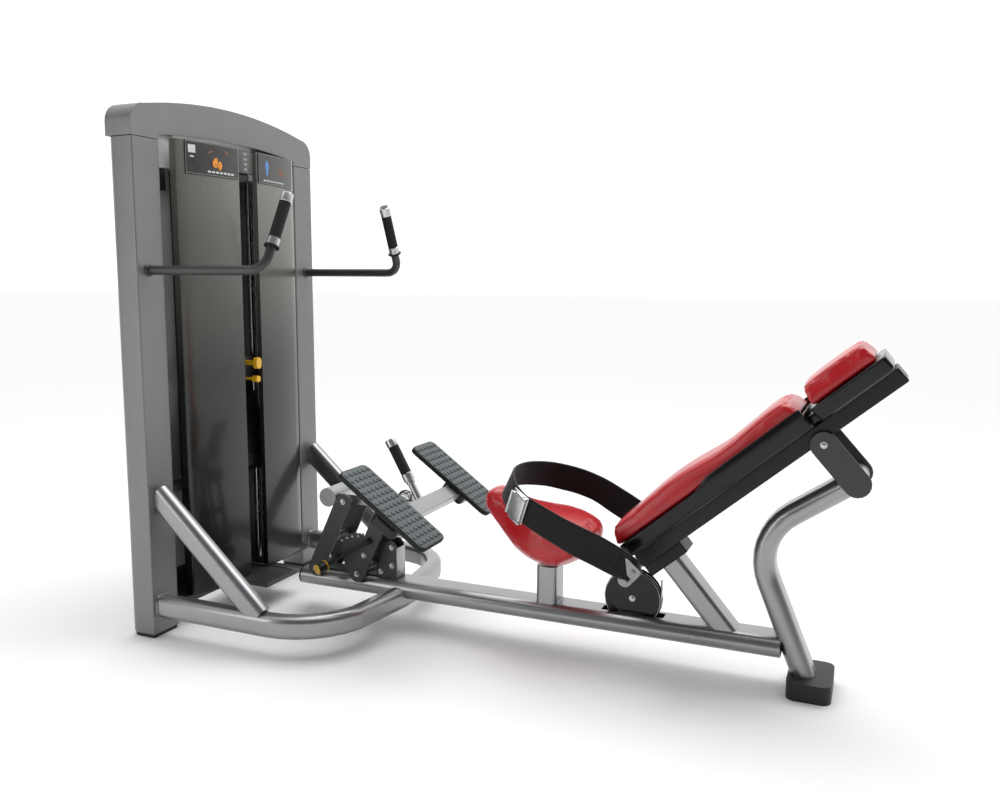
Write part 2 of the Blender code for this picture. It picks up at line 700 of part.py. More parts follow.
def build_stretch_bars():
    for side, name in ((-1, "left"), (1, "right")):
        start = (4 * GAP, side * 0.398, 1.130)
        corner = Vector((0.409, side * 0.384, 1.129))
        high = Vector((0.416, side * 0.272, 1.354))
        low = corner.lerp(high, 0.29)
        path = [start] + fillet(start, corner, high, 0.050, 7) + [high]
        keep(wire("bar", path, BAR_R, 4), "stretch_bar_" + name, "charcoal")
        along = (high - low).normalized()
        grip = rod("grip", low, high - along * 0.012, GRIP_R, 24)
        bore = rod("bore", low - along * 0.05, high + along * 0.05, BAR_R + GAP, 24)
        keep(cut(grip, bore), "stretch_grip_" + name, "rubber")


# ---------------------------------------------------------------- foot carriage
def arm(foot, tube_share):
    """Two side plates on one cross tube, which crosses at a share of the way up."""
    top = (foot[0] + ARM_REACH[0], foot[1] + ARM_REACH[1])
    plates = []
    for side in (-1, 1):
        low, high = sorted((side * ARM_Y, side * (ARM_Y + ARM_PLATE)))
        plate = slab("plate", "xz", [stadium(foot, top, 0.027)], low, high)
        plates.append(plate)
    place = (foot[0] + tube_share * ARM_REACH[0], foot[1] + tube_share * ARM_REACH[1])
    tube = cross_rod("tube", *place, 0.012, ARM_Y + ARM_PLATE / 2, 20)
    return join(plates[0], plates[1], tube)


def build_foot_carriage():
    base = box("base", (0.300, -0.028, BEAM_TOP + GAP), (0.620, 0.028, BEAM_TOP + 0.006))
    bosses = [cross_rod("boss", *foot, 0.0125, ARM_Y - 0.0006, 24)
              for foot in (ARM_FOOT_FRONT, ARM_FOOT_REAR)]
    walls = []
    for side in (-1, 1):
        wall = [(0.545, 0.148, 0), (0.620, 0.148, 0), (0.620, 0.254, 0.012), (0.602, 0.274, 0.012),
                (0.568, 0.256, 0.012)]
        low, high = sorted((side * 0.021, side * 0.027))
        walls.append(slab("wall", "xz", [rounded(wall, 4)], low, high))
    keep(join(base, *bosses, *walls), "foot_bracket", "charcoal")

    centre = Vector(ARM_FOOT_REAR)
    teeth, rim = [], 0.124
    for step in range(33):
        angle = math.radians(84 + 42 * step / 32)
        radius = rim + (0.006 if step % 4 in (1, 2) else 0)
        teeth.append(centre + radius * Vector((math.cos(angle), math.sin(angle))))
    teeth += [Vector((0.440, 0.1543)), Vector((0.506, 0.1543))]
    sector = slab("sector", "xz", [teeth], -0.046, -0.038)
    clear = cross_rod("clear", *ARM_FOOT_REAR, 0.0135, 0.070, 24)
    keep(cut(sector, clear), "ratchet_sector", "steel")

    front = arm(ARM_FOOT_FRONT, 0.42)
    keep(front, "arm_front", "charcoal", (ARM_FOOT_FRONT[0], 0, ARM_FOOT_FRONT[1]))
    rear = arm(ARM_FOOT_REAR, 0.72)
    shaft = (0.5430, 0.2755)
    hole = rod("hole", (shaft[0], -0.08, shaft[1]), (shaft[0], -0.05, shaft[1]), 0.0075, 20)
    rear = cut(rear, hole)
    keep(rear, "arm_rear", "charcoal", (ARM_FOOT_REAR[0], 0, ARM_FOOT_REAR[1]))

    pin = rod("pin", (shaft[0], -0.086, shaft[1]), (shaft[0], -0.053, shaft[1]), 0.0070, 20)
    knob_at, knob_out = Vector((0.3984, -0.100, 0.1853)), Vector((-0.37, -0.91, -0.20)).normalized()
    lever = rod("lever", (shaft[0], -0.080, shaft[1]), knob_at, 0.0055, 16)
    knob = rod("knob", knob_at - knob_out * 0.006, knob_at + knob_out * 0.036, 0.0175, 24)
    ring = rod("ring", knob_at - knob_out * 0.002, knob_at + knob_out * 0.002, 0.0195, 24)
    keep(join(pin, lever, knob, ring), "release_lever", "black", (shaft[0], 0, shaft[1]))

    tops = [(foot[0] + ARM_REACH[0], foot[1] + ARM_REACH[1]) for foot in (ARM_FOOT_FRONT, ARM_FOOT_REAR)]
    rail = box("rail", (0.372, -0.030, 0.380), (0.735, 0.030, 0.410))
    ends = [cross_rod("pivot", *top, 0.0135, ARM_Y - 0.0006, 24) for top in tops]
    weight = cross_rod("weight", 0.378, 0.398, 0.031, 0.050, 28)
    under = -PLATE_T - 2 * GAP
    cross = footrest_solid(box("cross", (0.008, -0.285, under - 0.034), (0.060, 0.285, under)))
    keep(join(bevel(cross, 0.004), rail, *ends, weight), "foot_frame", "charcoal",
         (tops[1][0], 0, tops[1][1]))

    for side, name in ((-1, "left"), (1, "right")):
        middle = side * (PLATE_INNER + PLATE_OUTER) / 2
        plan = section(PLATE_LENGTH, PLATE_OUTER - PLATE_INNER, 0.022, 5)
        plate = slab("plate", "xy", [[(x + 0.003, y + middle) for x, y in plan]], -PLATE_T, 0)
        keep(footrest_solid(bevel(plate, 0.003)), "foot_plate_" + name, "rubber",
             (tops[1][0], 0, tops[1][1]))

    foot, top = Vector((0.694, 0, 0.404)), Vector((0.585, 0, 0.599))
    stem = rod("stem", foot, top, 0.012, 20)
    grip = rod("grip", foot.lerp(top, 0.36), foot.lerp(top, 0.93), GRIP_R, 24)
    clear = footrest_solid(box("clear", (0.008 - GAP, -0.05, under - 0.1), (0.10, 0.05, under + GAP)))
    floor = box("floor", (0.60, -0.05, 0.38), (0.76, 0.05, 0.410 + GAP))
    keep(cut(join(stem, grip), clear, floor), "hand_grip", "rubber", (tops[1][0], 0, tops[1][1]))


# ---------------------------------------------------------------- saddle, belt and back
def build_saddle():
    """The saddle: a raised narrow nose, a dished top and a deep wide tail."""
    stations = [  # x, half width, under side, top side
        (0.926, 0.022, 0.424, 0.456), (0.938, 0.044, 0.408, 0.477), (0.965, 0.062, 0.385, 0.486),
        (1.000, 0.076, 0.346, 0.465), (1.050, 0.102, 0.296, 0.450), (1.105, 0.134, 0.266, 0.438),
        (1.165, 0.155, 0.260, 0.430), (1.220, 0.155, 0.280, 0.412), (1.262, 0.128, 0.312, 0.398),
        (1.286, 0.085, 0.340, 0.384)]
    rings = []
    for x, half, low, high in stations:
        ring = []
        for step in range(16):
            angle = 2 * math.pi * step / 16
            side, lift = math.cos(angle), math.sin(angle)
            y = half * math.copysign(abs(side) ** 0.7, side)
            rise = math.copysign(abs(lift) ** (0.8 if lift < 0 else 0.5), lift)
            z = (low + high) / 2 + (high - low) / 2 * rise
            ring.append((x, y, z))
        rings.append(ring)
    keep(loft("saddle", rings), "seat_pad", "red")


def belt_line():
    """Middle line of the hip belt, from its pivot to the front: x, |y|, left z, right z, half width."""
    return [(1.441, 0.190, 0.331, 0.331, 0.032), (1.400, 0.1945, 0.350, 0.355, 0.039),
            (1.340, 0.198, 0.377, 0.391, 0.042), (1.280, 0.200, 0.400, 0.423, 0.042),
            (1.225, 0.199, 0.423, 0.452, 0.040), (1.170, 0.193, 0.446, 0.472, 0.040),
            (1.122, 0.179, 0.465, 0.485, 0.040), (1.078, 0.150, 0.484, 0.498, 0.040),
            (1.042, 0.103, 0.501, 0.508, 0.041), (1.021, 0.052, 0.511, 0.514, 0.041),
            (1.015, 0.000, 0.515, 0.515, 0.041)]


def belt_frame(before, after, x):
    """Directions along the belt, out of the loop and up across the webbing, which leans in front."""
    along = (Vector(after) - Vector(before)).normalized()
    outward = Vector((-along.y, along.x, 0)).normalized()
    lean = 0.45 * min(1.0, max(0.0, (1.12 - x) / 0.10))
    up = (along.cross(outward) - outward * lean).normalized()
    return along, up.cross(along).normalized(), up


def build_belt():
    half = belt_line()
    left = [(x, -y, z, width) for x, y, z, _, width in half]
    line = left + [(x, y, z, width) for x, y, _, z, width in reversed(half[:-1])]
    rings = []
    for index, (x, y, z, width) in enumerate(line):
        before, after = line[max(index - 1, 0)][:3], line[min(index + 1, len(line) - 1)][:3]
        along, outward, up = belt_frame(before, after, x)
        thick = outward * BELT_T / 2
        centre = Vector((x, y, z))
        rings.append([centre + up * width + thick, centre + up * width - thick,
                      centre - up * width - thick, centre - up * width + thick])
    pivot = (BELT_PIVOT[0], 0, BELT_PIVOT[1])
    keep(loft("belt", rings), "hip_belt", "webbing", pivot)

    here, ahead = Vector(left[6][:3]), Vector(left[7][:3])
    along, outward, up = belt_frame(here, ahead, (here.x + ahead.x) / 2)
    middle = (here + ahead) / 2 + outward * (BELT_T / 2 + 0.0095)
    buckle = box("buckle", (-0.033, -0.0075, -0.043), (0.033, 0.0075, 0.043))
    turn = Matrix((along, outward, up)).transposed().to_4x4()
    buckle.data.transform(Matrix.Translation(middle) @ turn)
    bevel(buckle, 0.004)
    keep(buckle, "belt_buckle", "steel", pivot)

    yoke_at = (1.4138, 0.3001)
    yoke = cross_rod("yoke", *yoke_at, 0.009, 0.1815, 20)
    ears = []
    for side in (-1, 1):
        low, high = sorted((side * 0.1755, side * 0.1820))
        ears.append(slab("ear", "xz", [stadium(yoke_at, BELT_PIVOT, 0.019)], low, high))
    neck = tilted_box("neck", (1.262, 1.2935), (-0.050, 0.050), (-0.700, -0.672))
    keep(join(yoke, *ears, neck), "belt_yoke", "steel")


def build_disc():
    """The cable disc between its two fixed guards on the beam."""
    x, z, radius = DISC
    guards = [rod("guard", (x, side * 0.0125, z), (x, side * 0.0160, z), radius, 28) for side in (-1, 1)]
    feet = [pair_box("foot", (x - 0.040, x + 0.040), (0.0150, 0.0270), (BEAM_TOP + GAP, BEAM_TOP + 0.004),
                     side) for side in (-1, 1)]
    keep(join(*guards, axle("spindle", DISC, 0.0150), *feet), "disc_guard", "black")
    pulley("cable_disc", DISC, "black")


def build_back():
    pivot_point = (UPPER_PIVOT[0], 0, UPPER_PIVOT[1])
    frame = tilted_box("frame", (1.294, 2.146), (-0.075, 0.075), (FRAME_LOW, FRAME_TOP))
    bore = tilted_box("bore", (1.25, 2.20), (SHEET - 0.075, 0.075 - SHEET),
                      (FRAME_LOW + SHEET, FRAME_TOP - SHEET))
    pivot = cross_rod("pivot", *UPPER_PIVOT, 0.019, LINK_Y - 0.0005, 24)
    keep(join(cut(bevel(frame, 0.003), bore), pivot), "back_frame", "charcoal", pivot_point)
    for side, name in ((-1, "left"), (1, "right")):
        low, high = sorted((side * LINK_Y, side * (LINK_Y + LINK_T)))
        plate = slab("link", "xz", [stadium(LOWER_PIVOT, UPPER_PIVOT, 0.035, 10)], low, high)
        keep(bevel(plate, 0.0015), "link_plate_" + name, "charcoal", (LOWER_PIVOT[0], 0, LOWER_PIVOT[1]))

    shell_low = FRAME_TOP + GAP
    shell_top = SHELL_TOP - GAP
    long_pan = bevel(tilted_box("pan", (1.298, 1.914), (-0.143, 0.143), (shell_low, shell_top)), 0.010)
    head_pan = bevel(tilted_box("head_pan", (1.928, 2.146), (-0.143, 0.143), (shell_low, shell_top)), 0.010)
    spine = tilted_box("spine", (1.85, 1.98), (-0.100, 0.100), (shell_low + 0.006, shell_top - 0.012))
    trays = [tilted_box("tray", u_range, (-0.135, 0.135), (shell_low + 0.010, shell_top + 0.010))
             for u_range in ((1.308, 1.904), (1.938, 2.136))]
    keep(cut(join(long_pan, head_pan, spine), *trays), "back_shell", "black", pivot_point)
    pad = tilted_box("pad", (1.279, 1.915), (-0.147, 0.147), (SHELL_TOP, PAD_TOP))
    keep(bevel(pad, 0.018, 3), "back_pad", "red", pivot_point)
    head = tilted_box("head", (1.927, 2.143), (-0.147, 0.147), (SHELL_TOP, PAD_TOP - 0.004))
    keep(bevel(head, 0.018, 3), "head_pad", "red", pivot_point)


build_tower()
build_stack()
build_frame()
build_stretch_bars()
build_foot_carriage()
build_saddle()
build_belt()
build_disc()
build_back()
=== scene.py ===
# %% [markdown]
# A glute bridge machine stands on a pale studio floor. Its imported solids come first, as a fixed frame.
# Every piece made here is placed from that frame, and rides on one of its moving bodies. Metres, +Z up.

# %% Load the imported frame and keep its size
import json
import math

import bmesh
import bpy
from mathutils import Matrix, Vector
from mathutils.bvhtree import BVHTree

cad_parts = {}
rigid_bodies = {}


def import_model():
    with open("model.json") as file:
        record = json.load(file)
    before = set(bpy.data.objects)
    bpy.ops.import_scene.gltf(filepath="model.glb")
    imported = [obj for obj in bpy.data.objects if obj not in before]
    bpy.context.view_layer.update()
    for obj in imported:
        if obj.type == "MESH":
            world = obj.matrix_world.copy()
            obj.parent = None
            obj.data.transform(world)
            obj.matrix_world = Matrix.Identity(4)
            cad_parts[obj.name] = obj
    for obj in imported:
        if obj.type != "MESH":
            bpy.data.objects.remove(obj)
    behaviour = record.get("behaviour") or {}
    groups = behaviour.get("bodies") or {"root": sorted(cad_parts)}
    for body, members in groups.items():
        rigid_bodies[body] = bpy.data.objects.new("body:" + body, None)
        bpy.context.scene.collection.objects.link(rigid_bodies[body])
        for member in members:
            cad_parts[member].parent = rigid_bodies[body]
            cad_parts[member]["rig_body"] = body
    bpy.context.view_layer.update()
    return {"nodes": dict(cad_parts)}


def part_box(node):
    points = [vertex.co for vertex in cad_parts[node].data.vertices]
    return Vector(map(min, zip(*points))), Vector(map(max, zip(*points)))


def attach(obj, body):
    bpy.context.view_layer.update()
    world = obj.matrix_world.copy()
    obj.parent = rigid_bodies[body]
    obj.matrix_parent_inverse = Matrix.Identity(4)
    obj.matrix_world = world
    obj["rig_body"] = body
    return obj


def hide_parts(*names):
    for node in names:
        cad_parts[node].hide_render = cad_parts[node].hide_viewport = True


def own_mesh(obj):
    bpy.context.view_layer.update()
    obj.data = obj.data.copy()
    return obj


for leftover in list(bpy.data.objects):
    bpy.data.objects.remove(leftover, do_unlink=True)
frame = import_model()
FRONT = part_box("column_left")[1].x
print("frame of", len(frame["nodes"]), "nodes, tower face at x", round(FRONT, 4))

# %% [markdown]
# The tower's front face is the handiest place to measure from along the machine, so `at` takes lengths from
# there. The back leans at a fixed angle, so `on_back` takes a place measured up the back and square out of
# the pad. The foot plates lean the other way, and `on_plate` does the same for them.

# %% Three measuring frames
BACK_LEAN = math.radians(40.5)
PLATE_LEAN = math.radians(35.8)
BACK_TURN = Matrix.Translation((FRONT, 0, 0)) @ Matrix.Rotation(-BACK_LEAN, 4, "Y")
PLATE_TURN = Matrix.Translation((FRONT + 0.720, 0, 0.449)) @ Matrix.Rotation(PLATE_LEAN, 4, "Y")


def at(x, y, z):
    return Vector((FRONT + x, y, z))


def on_back(u, y, v):
    return BACK_TURN @ Vector((u, y, v))


def on_plate(a, y, n):
    return PLATE_TURN @ Vector((a, y, n))


# %% [markdown]
# The camera stands a little above waist height at the user's left and looks down the machine. Its fairly
# short lens and near place foreshorten the tower and the back.

# %% Camera
camera_data = bpy.data.cameras.new("studio_camera")
camera_data.sensor_width = 36.0
camera_data.lens = 32.57
studio_camera = bpy.data.objects.new("studio_camera", camera_data)
studio_camera.location = at(2.0273, -2.4902, 1.1040)
studio_camera.rotation_euler = (math.radians(90 - 7.377), math.radians(-0.218), math.radians(23.064))
bpy.context.scene.collection.objects.link(studio_camera)
bpy.context.scene.camera = studio_camera

# %% [markdown]
# The light is soft and comes from above and behind, so the tops of the tubes are brighter than the sides
# that face the room. The world is bright on that side only, a soft sun evens the floor, and a tall lamp at
# the left draws the tower's edges.

# %% Floor, lamps and world
floor_shape = bmesh.new()
bmesh.ops.create_grid(floor_shape, x_segments=1, y_segments=1, size=60.0)
floor_mesh = bpy.data.meshes.new("studio_floor")
floor_shape.to_mesh(floor_mesh)
floor_shape.free()
studio_floor = bpy.data.objects.new("studio_floor", floor_mesh)
bpy.context.scene.collection.objects.link(studio_floor)
pale = bpy.data.materials.new("pale_floor")
pale.use_nodes = True
pale.node_tree.nodes["Principled BSDF"].inputs["Base Color"].default_value = (0.92, 0.92, 0.92, 1)
pale.node_tree.nodes["Principled BSDF"].inputs["Roughness"].default_value = 0.9
pale.node_tree.nodes["Principled BSDF"].inputs["Specular IOR Level"].default_value = 0.1
floor_mesh.materials.append(pale)


def lamp(name, place, target, width, height, power):
    light = bpy.data.lights.new(name, "AREA")
    light.shape = "RECTANGLE"
    light.size, light.size_y, light.energy = width, height, power
    holder = bpy.data.objects.new(name, light)
    holder.location = place
    holder.rotation_euler = (Vector(target) - Vector(place)).to_track_quat("-Z", "Y").to_euler()
    bpy.context.scene.collection.objects.link(holder)
    return holder


lamp("overhead", (0.4, 0.9, 3.4), (0.2, 0.0, 0), 3.6, 1.6, 42)
lamp("front_left", (-2.6, -3.4, 1.6), (-0.9, 0, 0.9), 0.9, 2.6, 26)
sun_data = bpy.data.lights.new("soft_sun", "SUN")
sun_data.energy, sun_data.angle = 0.9, math.radians(70)
soft_sun = bpy.data.objects.new("soft_sun", sun_data)
soft_sun.rotation_euler = (math.radians(-14), math.radians(8), 0)
bpy.context.scene.collection.objects.link(soft_sun)

studio_world = bpy.data.worlds.new("studio_world")
studio_world.use_nodes = True
backing = studio_world.node_tree.nodes["Background"]
sky = studio_world.node_tree.nodes.new("ShaderNodeTexCoord")
toward = studio_world.node_tree.nodes.new("ShaderNodeVectorMath")
toward.operation = "DOT_PRODUCT"
toward.inputs[1].default_value = (-0.35, 0.80, 0.48)
fade = studio_world.node_tree.nodes.new("ShaderNodeValToRGB")
fade.color_ramp.elements[0].position, fade.color_ramp.elements[1].position = 0.0, 0.42
fade.color_ramp.elements[0].color = (0.11, 0.11, 0.115, 1)
fade.color_ramp.elements[1].color = (1.0, 1.0, 1.0, 1)
studio_world.node_tree.links.new(sky.outputs["Generated"], toward.inputs[0])
studio_world.node_tree.links.new(toward.outputs["Value"], fade.inputs["Fac"])
studio_world.node_tree.links.new(fade.outputs["Color"], backing.inputs["Color"])
backing.inputs["Strength"].default_value = 1.18
bpy.context.scene.world = studio_world
bpy.context.scene.view_settings.view_transform = "Standard"

# %% [markdown]
# Most of the machine is powder-coated or painted steel. Real paint isn't one flat colour: it has a faint
# orange-peel ripple, the gloss wanders a little, and metallic paint carries tiny flakes. One maker of
# materials takes those as amounts, so each finish is a few numbers.

# %% A maker of finishes
def finish(name, colour, rough, metal=0.0, vary=0.10, patch=9.0, grain=900.0, bump=0.04,
           coat=0.0, gloss_vary=0.06, shine=0.5):
    """A Principled material with drifting colour, drifting gloss and a fine bump on Object coordinates."""
    made = bpy.data.materials.new(name)
    made.use_nodes = True
    nodes, links = made.node_tree.nodes, made.node_tree.links
    shader = nodes["Principled BSDF"]
    shader.inputs["Metallic"].default_value = metal
    shader.inputs["Coat Weight"].default_value = coat
    shader.inputs["Coat Roughness"].default_value = 0.08
    shader.inputs["Specular IOR Level"].default_value = shine
    place = nodes.new("ShaderNodeTexCoord")
    drift = nodes.new("ShaderNodeTexNoise")
    drift.inputs["Scale"].default_value = patch
    drift.inputs["Detail"].default_value = 5.0
    links.new(place.outputs["Object"], drift.inputs["Vector"])
    tint = nodes.new("ShaderNodeValToRGB")
    tint.color_ramp.elements[0].position, tint.color_ramp.elements[1].position = 0.3, 0.7
    tint.color_ramp.elements[0].color = (*(c * (1 - vary) for c in colour), 1)
    tint.color_ramp.elements[1].color = (*(min(1.0, c * (1 + vary)) for c in colour), 1)
    links.new(drift.outputs["Fac"], tint.inputs["Fac"])
    links.new(tint.outputs["Color"], shader.inputs["Base Color"])
    gloss = nodes.new("ShaderNodeMapRange")
    gloss.inputs["To Min"].default_value = max(0.02, rough - gloss_vary)
    gloss.inputs["To Max"].default_value = min(1.0, rough + gloss_vary)
    links.new(drift.outputs["Fac"], gloss.inputs["Value"])
    links.new(gloss.outputs["Result"], shader.inputs["Roughness"])
    fine = nodes.new("ShaderNodeTexNoise")
    fine.inputs["Scale"].default_value = grain
    fine.inputs["Detail"].default_value = 2.0
    links.new(place.outputs["Object"], fine.inputs["Vector"])
    ripple = nodes.new("ShaderNodeBump")
    ripple.inputs["Strength"].default_value = bump
    ripple.inputs["Distance"].default_value = 0.001
    links.new(fine.outputs["Fac"], ripple.inputs["Height"])
    links.new(ripple.outputs["Normal"], shader.inputs["Normal"])
    return made


silver_paint = finish("silver_paint", (0.33, 0.333, 0.340), 0.30, 0.85, vary=0.05, bump=0.05, coat=0.10)
tower_paint = finish("tower_paint", (0.22, 0.222, 0.226), 0.40, 0.60, vary=0.04, bump=0.05, coat=0.06)
charcoal_paint = finish("charcoal_paint", (0.060, 0.061, 0.063), 0.40, 0.45, vary=0.10, bump=0.06)
satin_black = finish("satin_black", (0.014, 0.014, 0.015), 0.42, 0.0, vary=0.20, bump=0.06, shine=0.35)
bright_steel = finish("bright_steel", (0.50, 0.51, 0.52), 0.26, 1.0, vary=0.06, patch=30, bump=0.03)
brushed_alloy = finish("brushed_alloy", (0.60, 0.605, 0.61), 0.32, 1.0, vary=0.08, patch=60, bump=0.08)
zinc_plate = finish("zinc_plate", (0.30, 0.305, 0.31), 0.40, 0.9, vary=0.12, patch=60, bump=0.08)
# partly painted reflection: a light diffuse grey for silver parts inside the tower, where real silver would
# only mirror the dim inside
pale_silver_and_reflection = finish("pale_silver_and_reflection", (0.62, 0.63, 0.62), 0.40, 0.15, vary=0.04, bump=0.03)
black_paint = finish("black_paint", (0.007, 0.007, 0.008), 0.30, 0.0, vary=0.25, bump=0.05, coat=0.05,
                     shine=0.35)
cast_black = finish("cast_black", (0.016, 0.016, 0.017), 0.52, 0.1, vary=0.25, grain=260, bump=0.22)
gloss_shell = finish("gloss_shell", (0.004, 0.004, 0.005), 0.22, 0.0, vary=0.2, grain=500, bump=0.06,
                     coat=0.10, shine=0.30)
grip_rubber = finish("grip_rubber", (0.010, 0.010, 0.011), 0.62, 0.0, vary=0.2, grain=1400, bump=0.30,
                     shine=0.3)
tread_rubber = finish("tread_rubber", (0.072, 0.088, 0.092), 0.50, 0.0, vary=0.12, patch=24, grain=700,
                      bump=0.22)
slab_rubber = finish("slab_rubber", (0.010, 0.012, 0.013), 0.58, 0.0, vary=0.2, grain=600, bump=0.2,
                     shine=0.3)
foot_rubber = finish("foot_rubber", (0.012, 0.0125, 0.013), 0.50, 0.0, vary=0.2, grain=600, bump=0.25,
                     shine=0.4)
yellow_plastic = finish("yellow_plastic", (0.80, 0.46, 0.012), 0.28, 0.0, vary=0.05, bump=0.03, coat=0.3)
black_plastic = finish("black_plastic", (0.009, 0.009, 0.009), 0.36, 0.0, vary=0.2, grain=700, bump=0.10,
                       shine=0.3)
print("plain finishes made")

# %% [markdown]
# The two front panels are glossy olive-grey sheets, and their base colour carries painted shade: a ramp
# up the Object Z axis makes them pale at the top and nearly black lower down, and it takes the place of
# the drifting colour.

# %% Panel finish with painted shade, upholstery finish and webbing finish
def parts_of(made):
    """A finish's nodes, links, shader and texture coordinates."""
    nodes = made.node_tree.nodes
    return nodes, made.node_tree.links, nodes["Principled BSDF"], nodes["Texture Coordinate"]


def raise_grain(made, height, strength):
    """Let a pattern's height drive the finish's normal."""
    nodes, links, shader, _ = parts_of(made)
    bump = nodes.new("ShaderNodeBump")
    bump.inputs["Strength"].default_value = strength
    bump.inputs["Distance"].default_value = 0.0006
    links.new(height, bump.inputs["Height"])
    links.new(bump.outputs["Normal"], shader.inputs["Normal"])


def shaded_panel_finish():
    made = finish("panel_olive_shaded", (0.12, 0.125, 0.112), 0.26, 0.30, vary=0.05, bump=0.02, coat=0.25)
    nodes, links, shader, place = parts_of(made)
    split = nodes.new("ShaderNodeSeparateXYZ")
    links.new(place.outputs["Object"], split.inputs["Vector"])
    # painted shade: up the Object Z axis the panel's colour runs from nearly black at its foot to pale at its
    # top
    height = nodes.new("ShaderNodeMapRange")
    height.inputs["From Min"].default_value = 0.10
    height.inputs["From Max"].default_value = 1.50
    links.new(split.outputs["Z"], height.inputs["Value"])
    fade = nodes.new("ShaderNodeValToRGB")
    fade.color_ramp.elements[0].color = (0.006, 0.0065, 0.006, 1)
    fade.color_ramp.elements[1].color = (0.200, 0.207, 0.180, 1)
    middle = fade.color_ramp.elements.new(0.50)
    middle.color = (0.028, 0.030, 0.026, 1)
    links.new(height.outputs["Result"], fade.inputs["Fac"])
    links.new(fade.outputs["Color"], shader.inputs["Base Color"])
    return made


def vinyl_finish():
    """Red upholstery: a pebbled leather grain, with the gloss of a sealed vinyl."""
    made = finish("red_vinyl", (0.50, 0.008, 0.014), 0.30, 0.0, vary=0.06, patch=14, coat=0.22, bump=0.0)
    nodes, links, shader, place = parts_of(made)
    pebbles = nodes.new("ShaderNodeTexVoronoi")
    pebbles.inputs["Scale"].default_value = 620.0
    links.new(place.outputs["Object"], pebbles.inputs["Vector"])
    raise_grain(made, pebbles.outputs["Distance"], 0.16)
    shader.inputs["Coat Roughness"].default_value = 0.22
    return made


def webbing_finish():
    """Black webbing: ribs along the strap crossed by fine picks, read from the strap's own UV map."""
    made = finish("black_webbing", (0.0085, 0.0085, 0.009), 0.66, 0.0, vary=0.2, bump=0.0, shine=0.22)
    nodes, links, shader, place = parts_of(made)
    shader.inputs["Sheen Weight"].default_value = 0.08
    picks = nodes.new("ShaderNodeTexWave")
    picks.bands_direction = "X"
    picks.inputs["Scale"].default_value = 200.0
    ribs = nodes.new("ShaderNodeTexWave")
    ribs.bands_direction = "Y"
    ribs.inputs["Scale"].default_value = 90.0
    weave = nodes.new("ShaderNodeMath")
    weave.operation = "MAXIMUM"
    for wave, socket in ((picks, 0), (ribs, 1)):
        links.new(place.outputs["UV"], wave.inputs["Vector"])
        links.new(wave.outputs["Fac"], weave.inputs[socket])
    raise_grain(made, weave.outputs["Value"], 0.35)
    return made


panel_olive_shaded, red_vinyl, black_webbing = shaded_panel_finish(), vinyl_finish(), webbing_finish()
print("special finishes made")

# %% [markdown]
# Every piece ends the same way: its mesh becomes an object at the origin, smooth where the faces meet
# gently, with one finish, riding on the body that carries it. `commit` does that once for all of them.

# %% Filing a finished piece
def commit(name, shape, look, body, replaces=(), sharp=35, weighted=False):
    mesh = bpy.data.meshes.new(name)
    shape.to_mesh(mesh)
    shape.free()
    mesh.shade_smooth()
    mesh.set_sharp_from_angle(angle=math.radians(sharp))
    mesh.materials.append(look)
    piece = bpy.data.objects.new(name, mesh)
    bpy.context.scene.collection.objects.link(piece)
    if weighted:
        even = piece.modifiers.new("even_shading", "WEIGHTED_NORMAL")
        even.keep_sharp = True
    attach(piece, body)
    if replaces:
        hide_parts(*replaces)
    return piece


# %% [markdown]
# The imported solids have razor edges, and real sheet and tube never do: a worn-in millimetre of radius
# catches the light along every edge. `softened` copies a solid, merges it, clears the extra diagonals from
# its flat faces, and bevels what is left sharp.

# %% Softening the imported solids
def bevelled(shape, edges, offset, segments=2, clamp=True):
    """Round edges by an offset, and return what the bevel made."""
    return bmesh.ops.bevel(shape, geom=edges, offset=offset, offset_type="OFFSET", affect="EDGES",
                           segments=segments, profile=0.5, material=-1, clamp_overlap=clamp)


def softened(node, look, radius=0.0012, body=None):
    source = frame["nodes"][node]
    shape = bmesh.new()
    shape.from_mesh(source.data)
    bmesh.ops.remove_doubles(shape, verts=shape.verts, dist=0.00002)
    bmesh.ops.dissolve_limit(shape, angle_limit=math.radians(1.0), verts=shape.verts, edges=shape.edges,
                             delimit={"NORMAL"})
    hard = [edge for edge in shape.edges
            if edge.is_manifold and edge.calc_face_angle(0.0) > math.radians(38)]
    if radius and hard:
        bevelled(shape, hard, radius)
    return commit("soft_" + node, shape, look, body or source["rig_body"], (node,), 40, True)


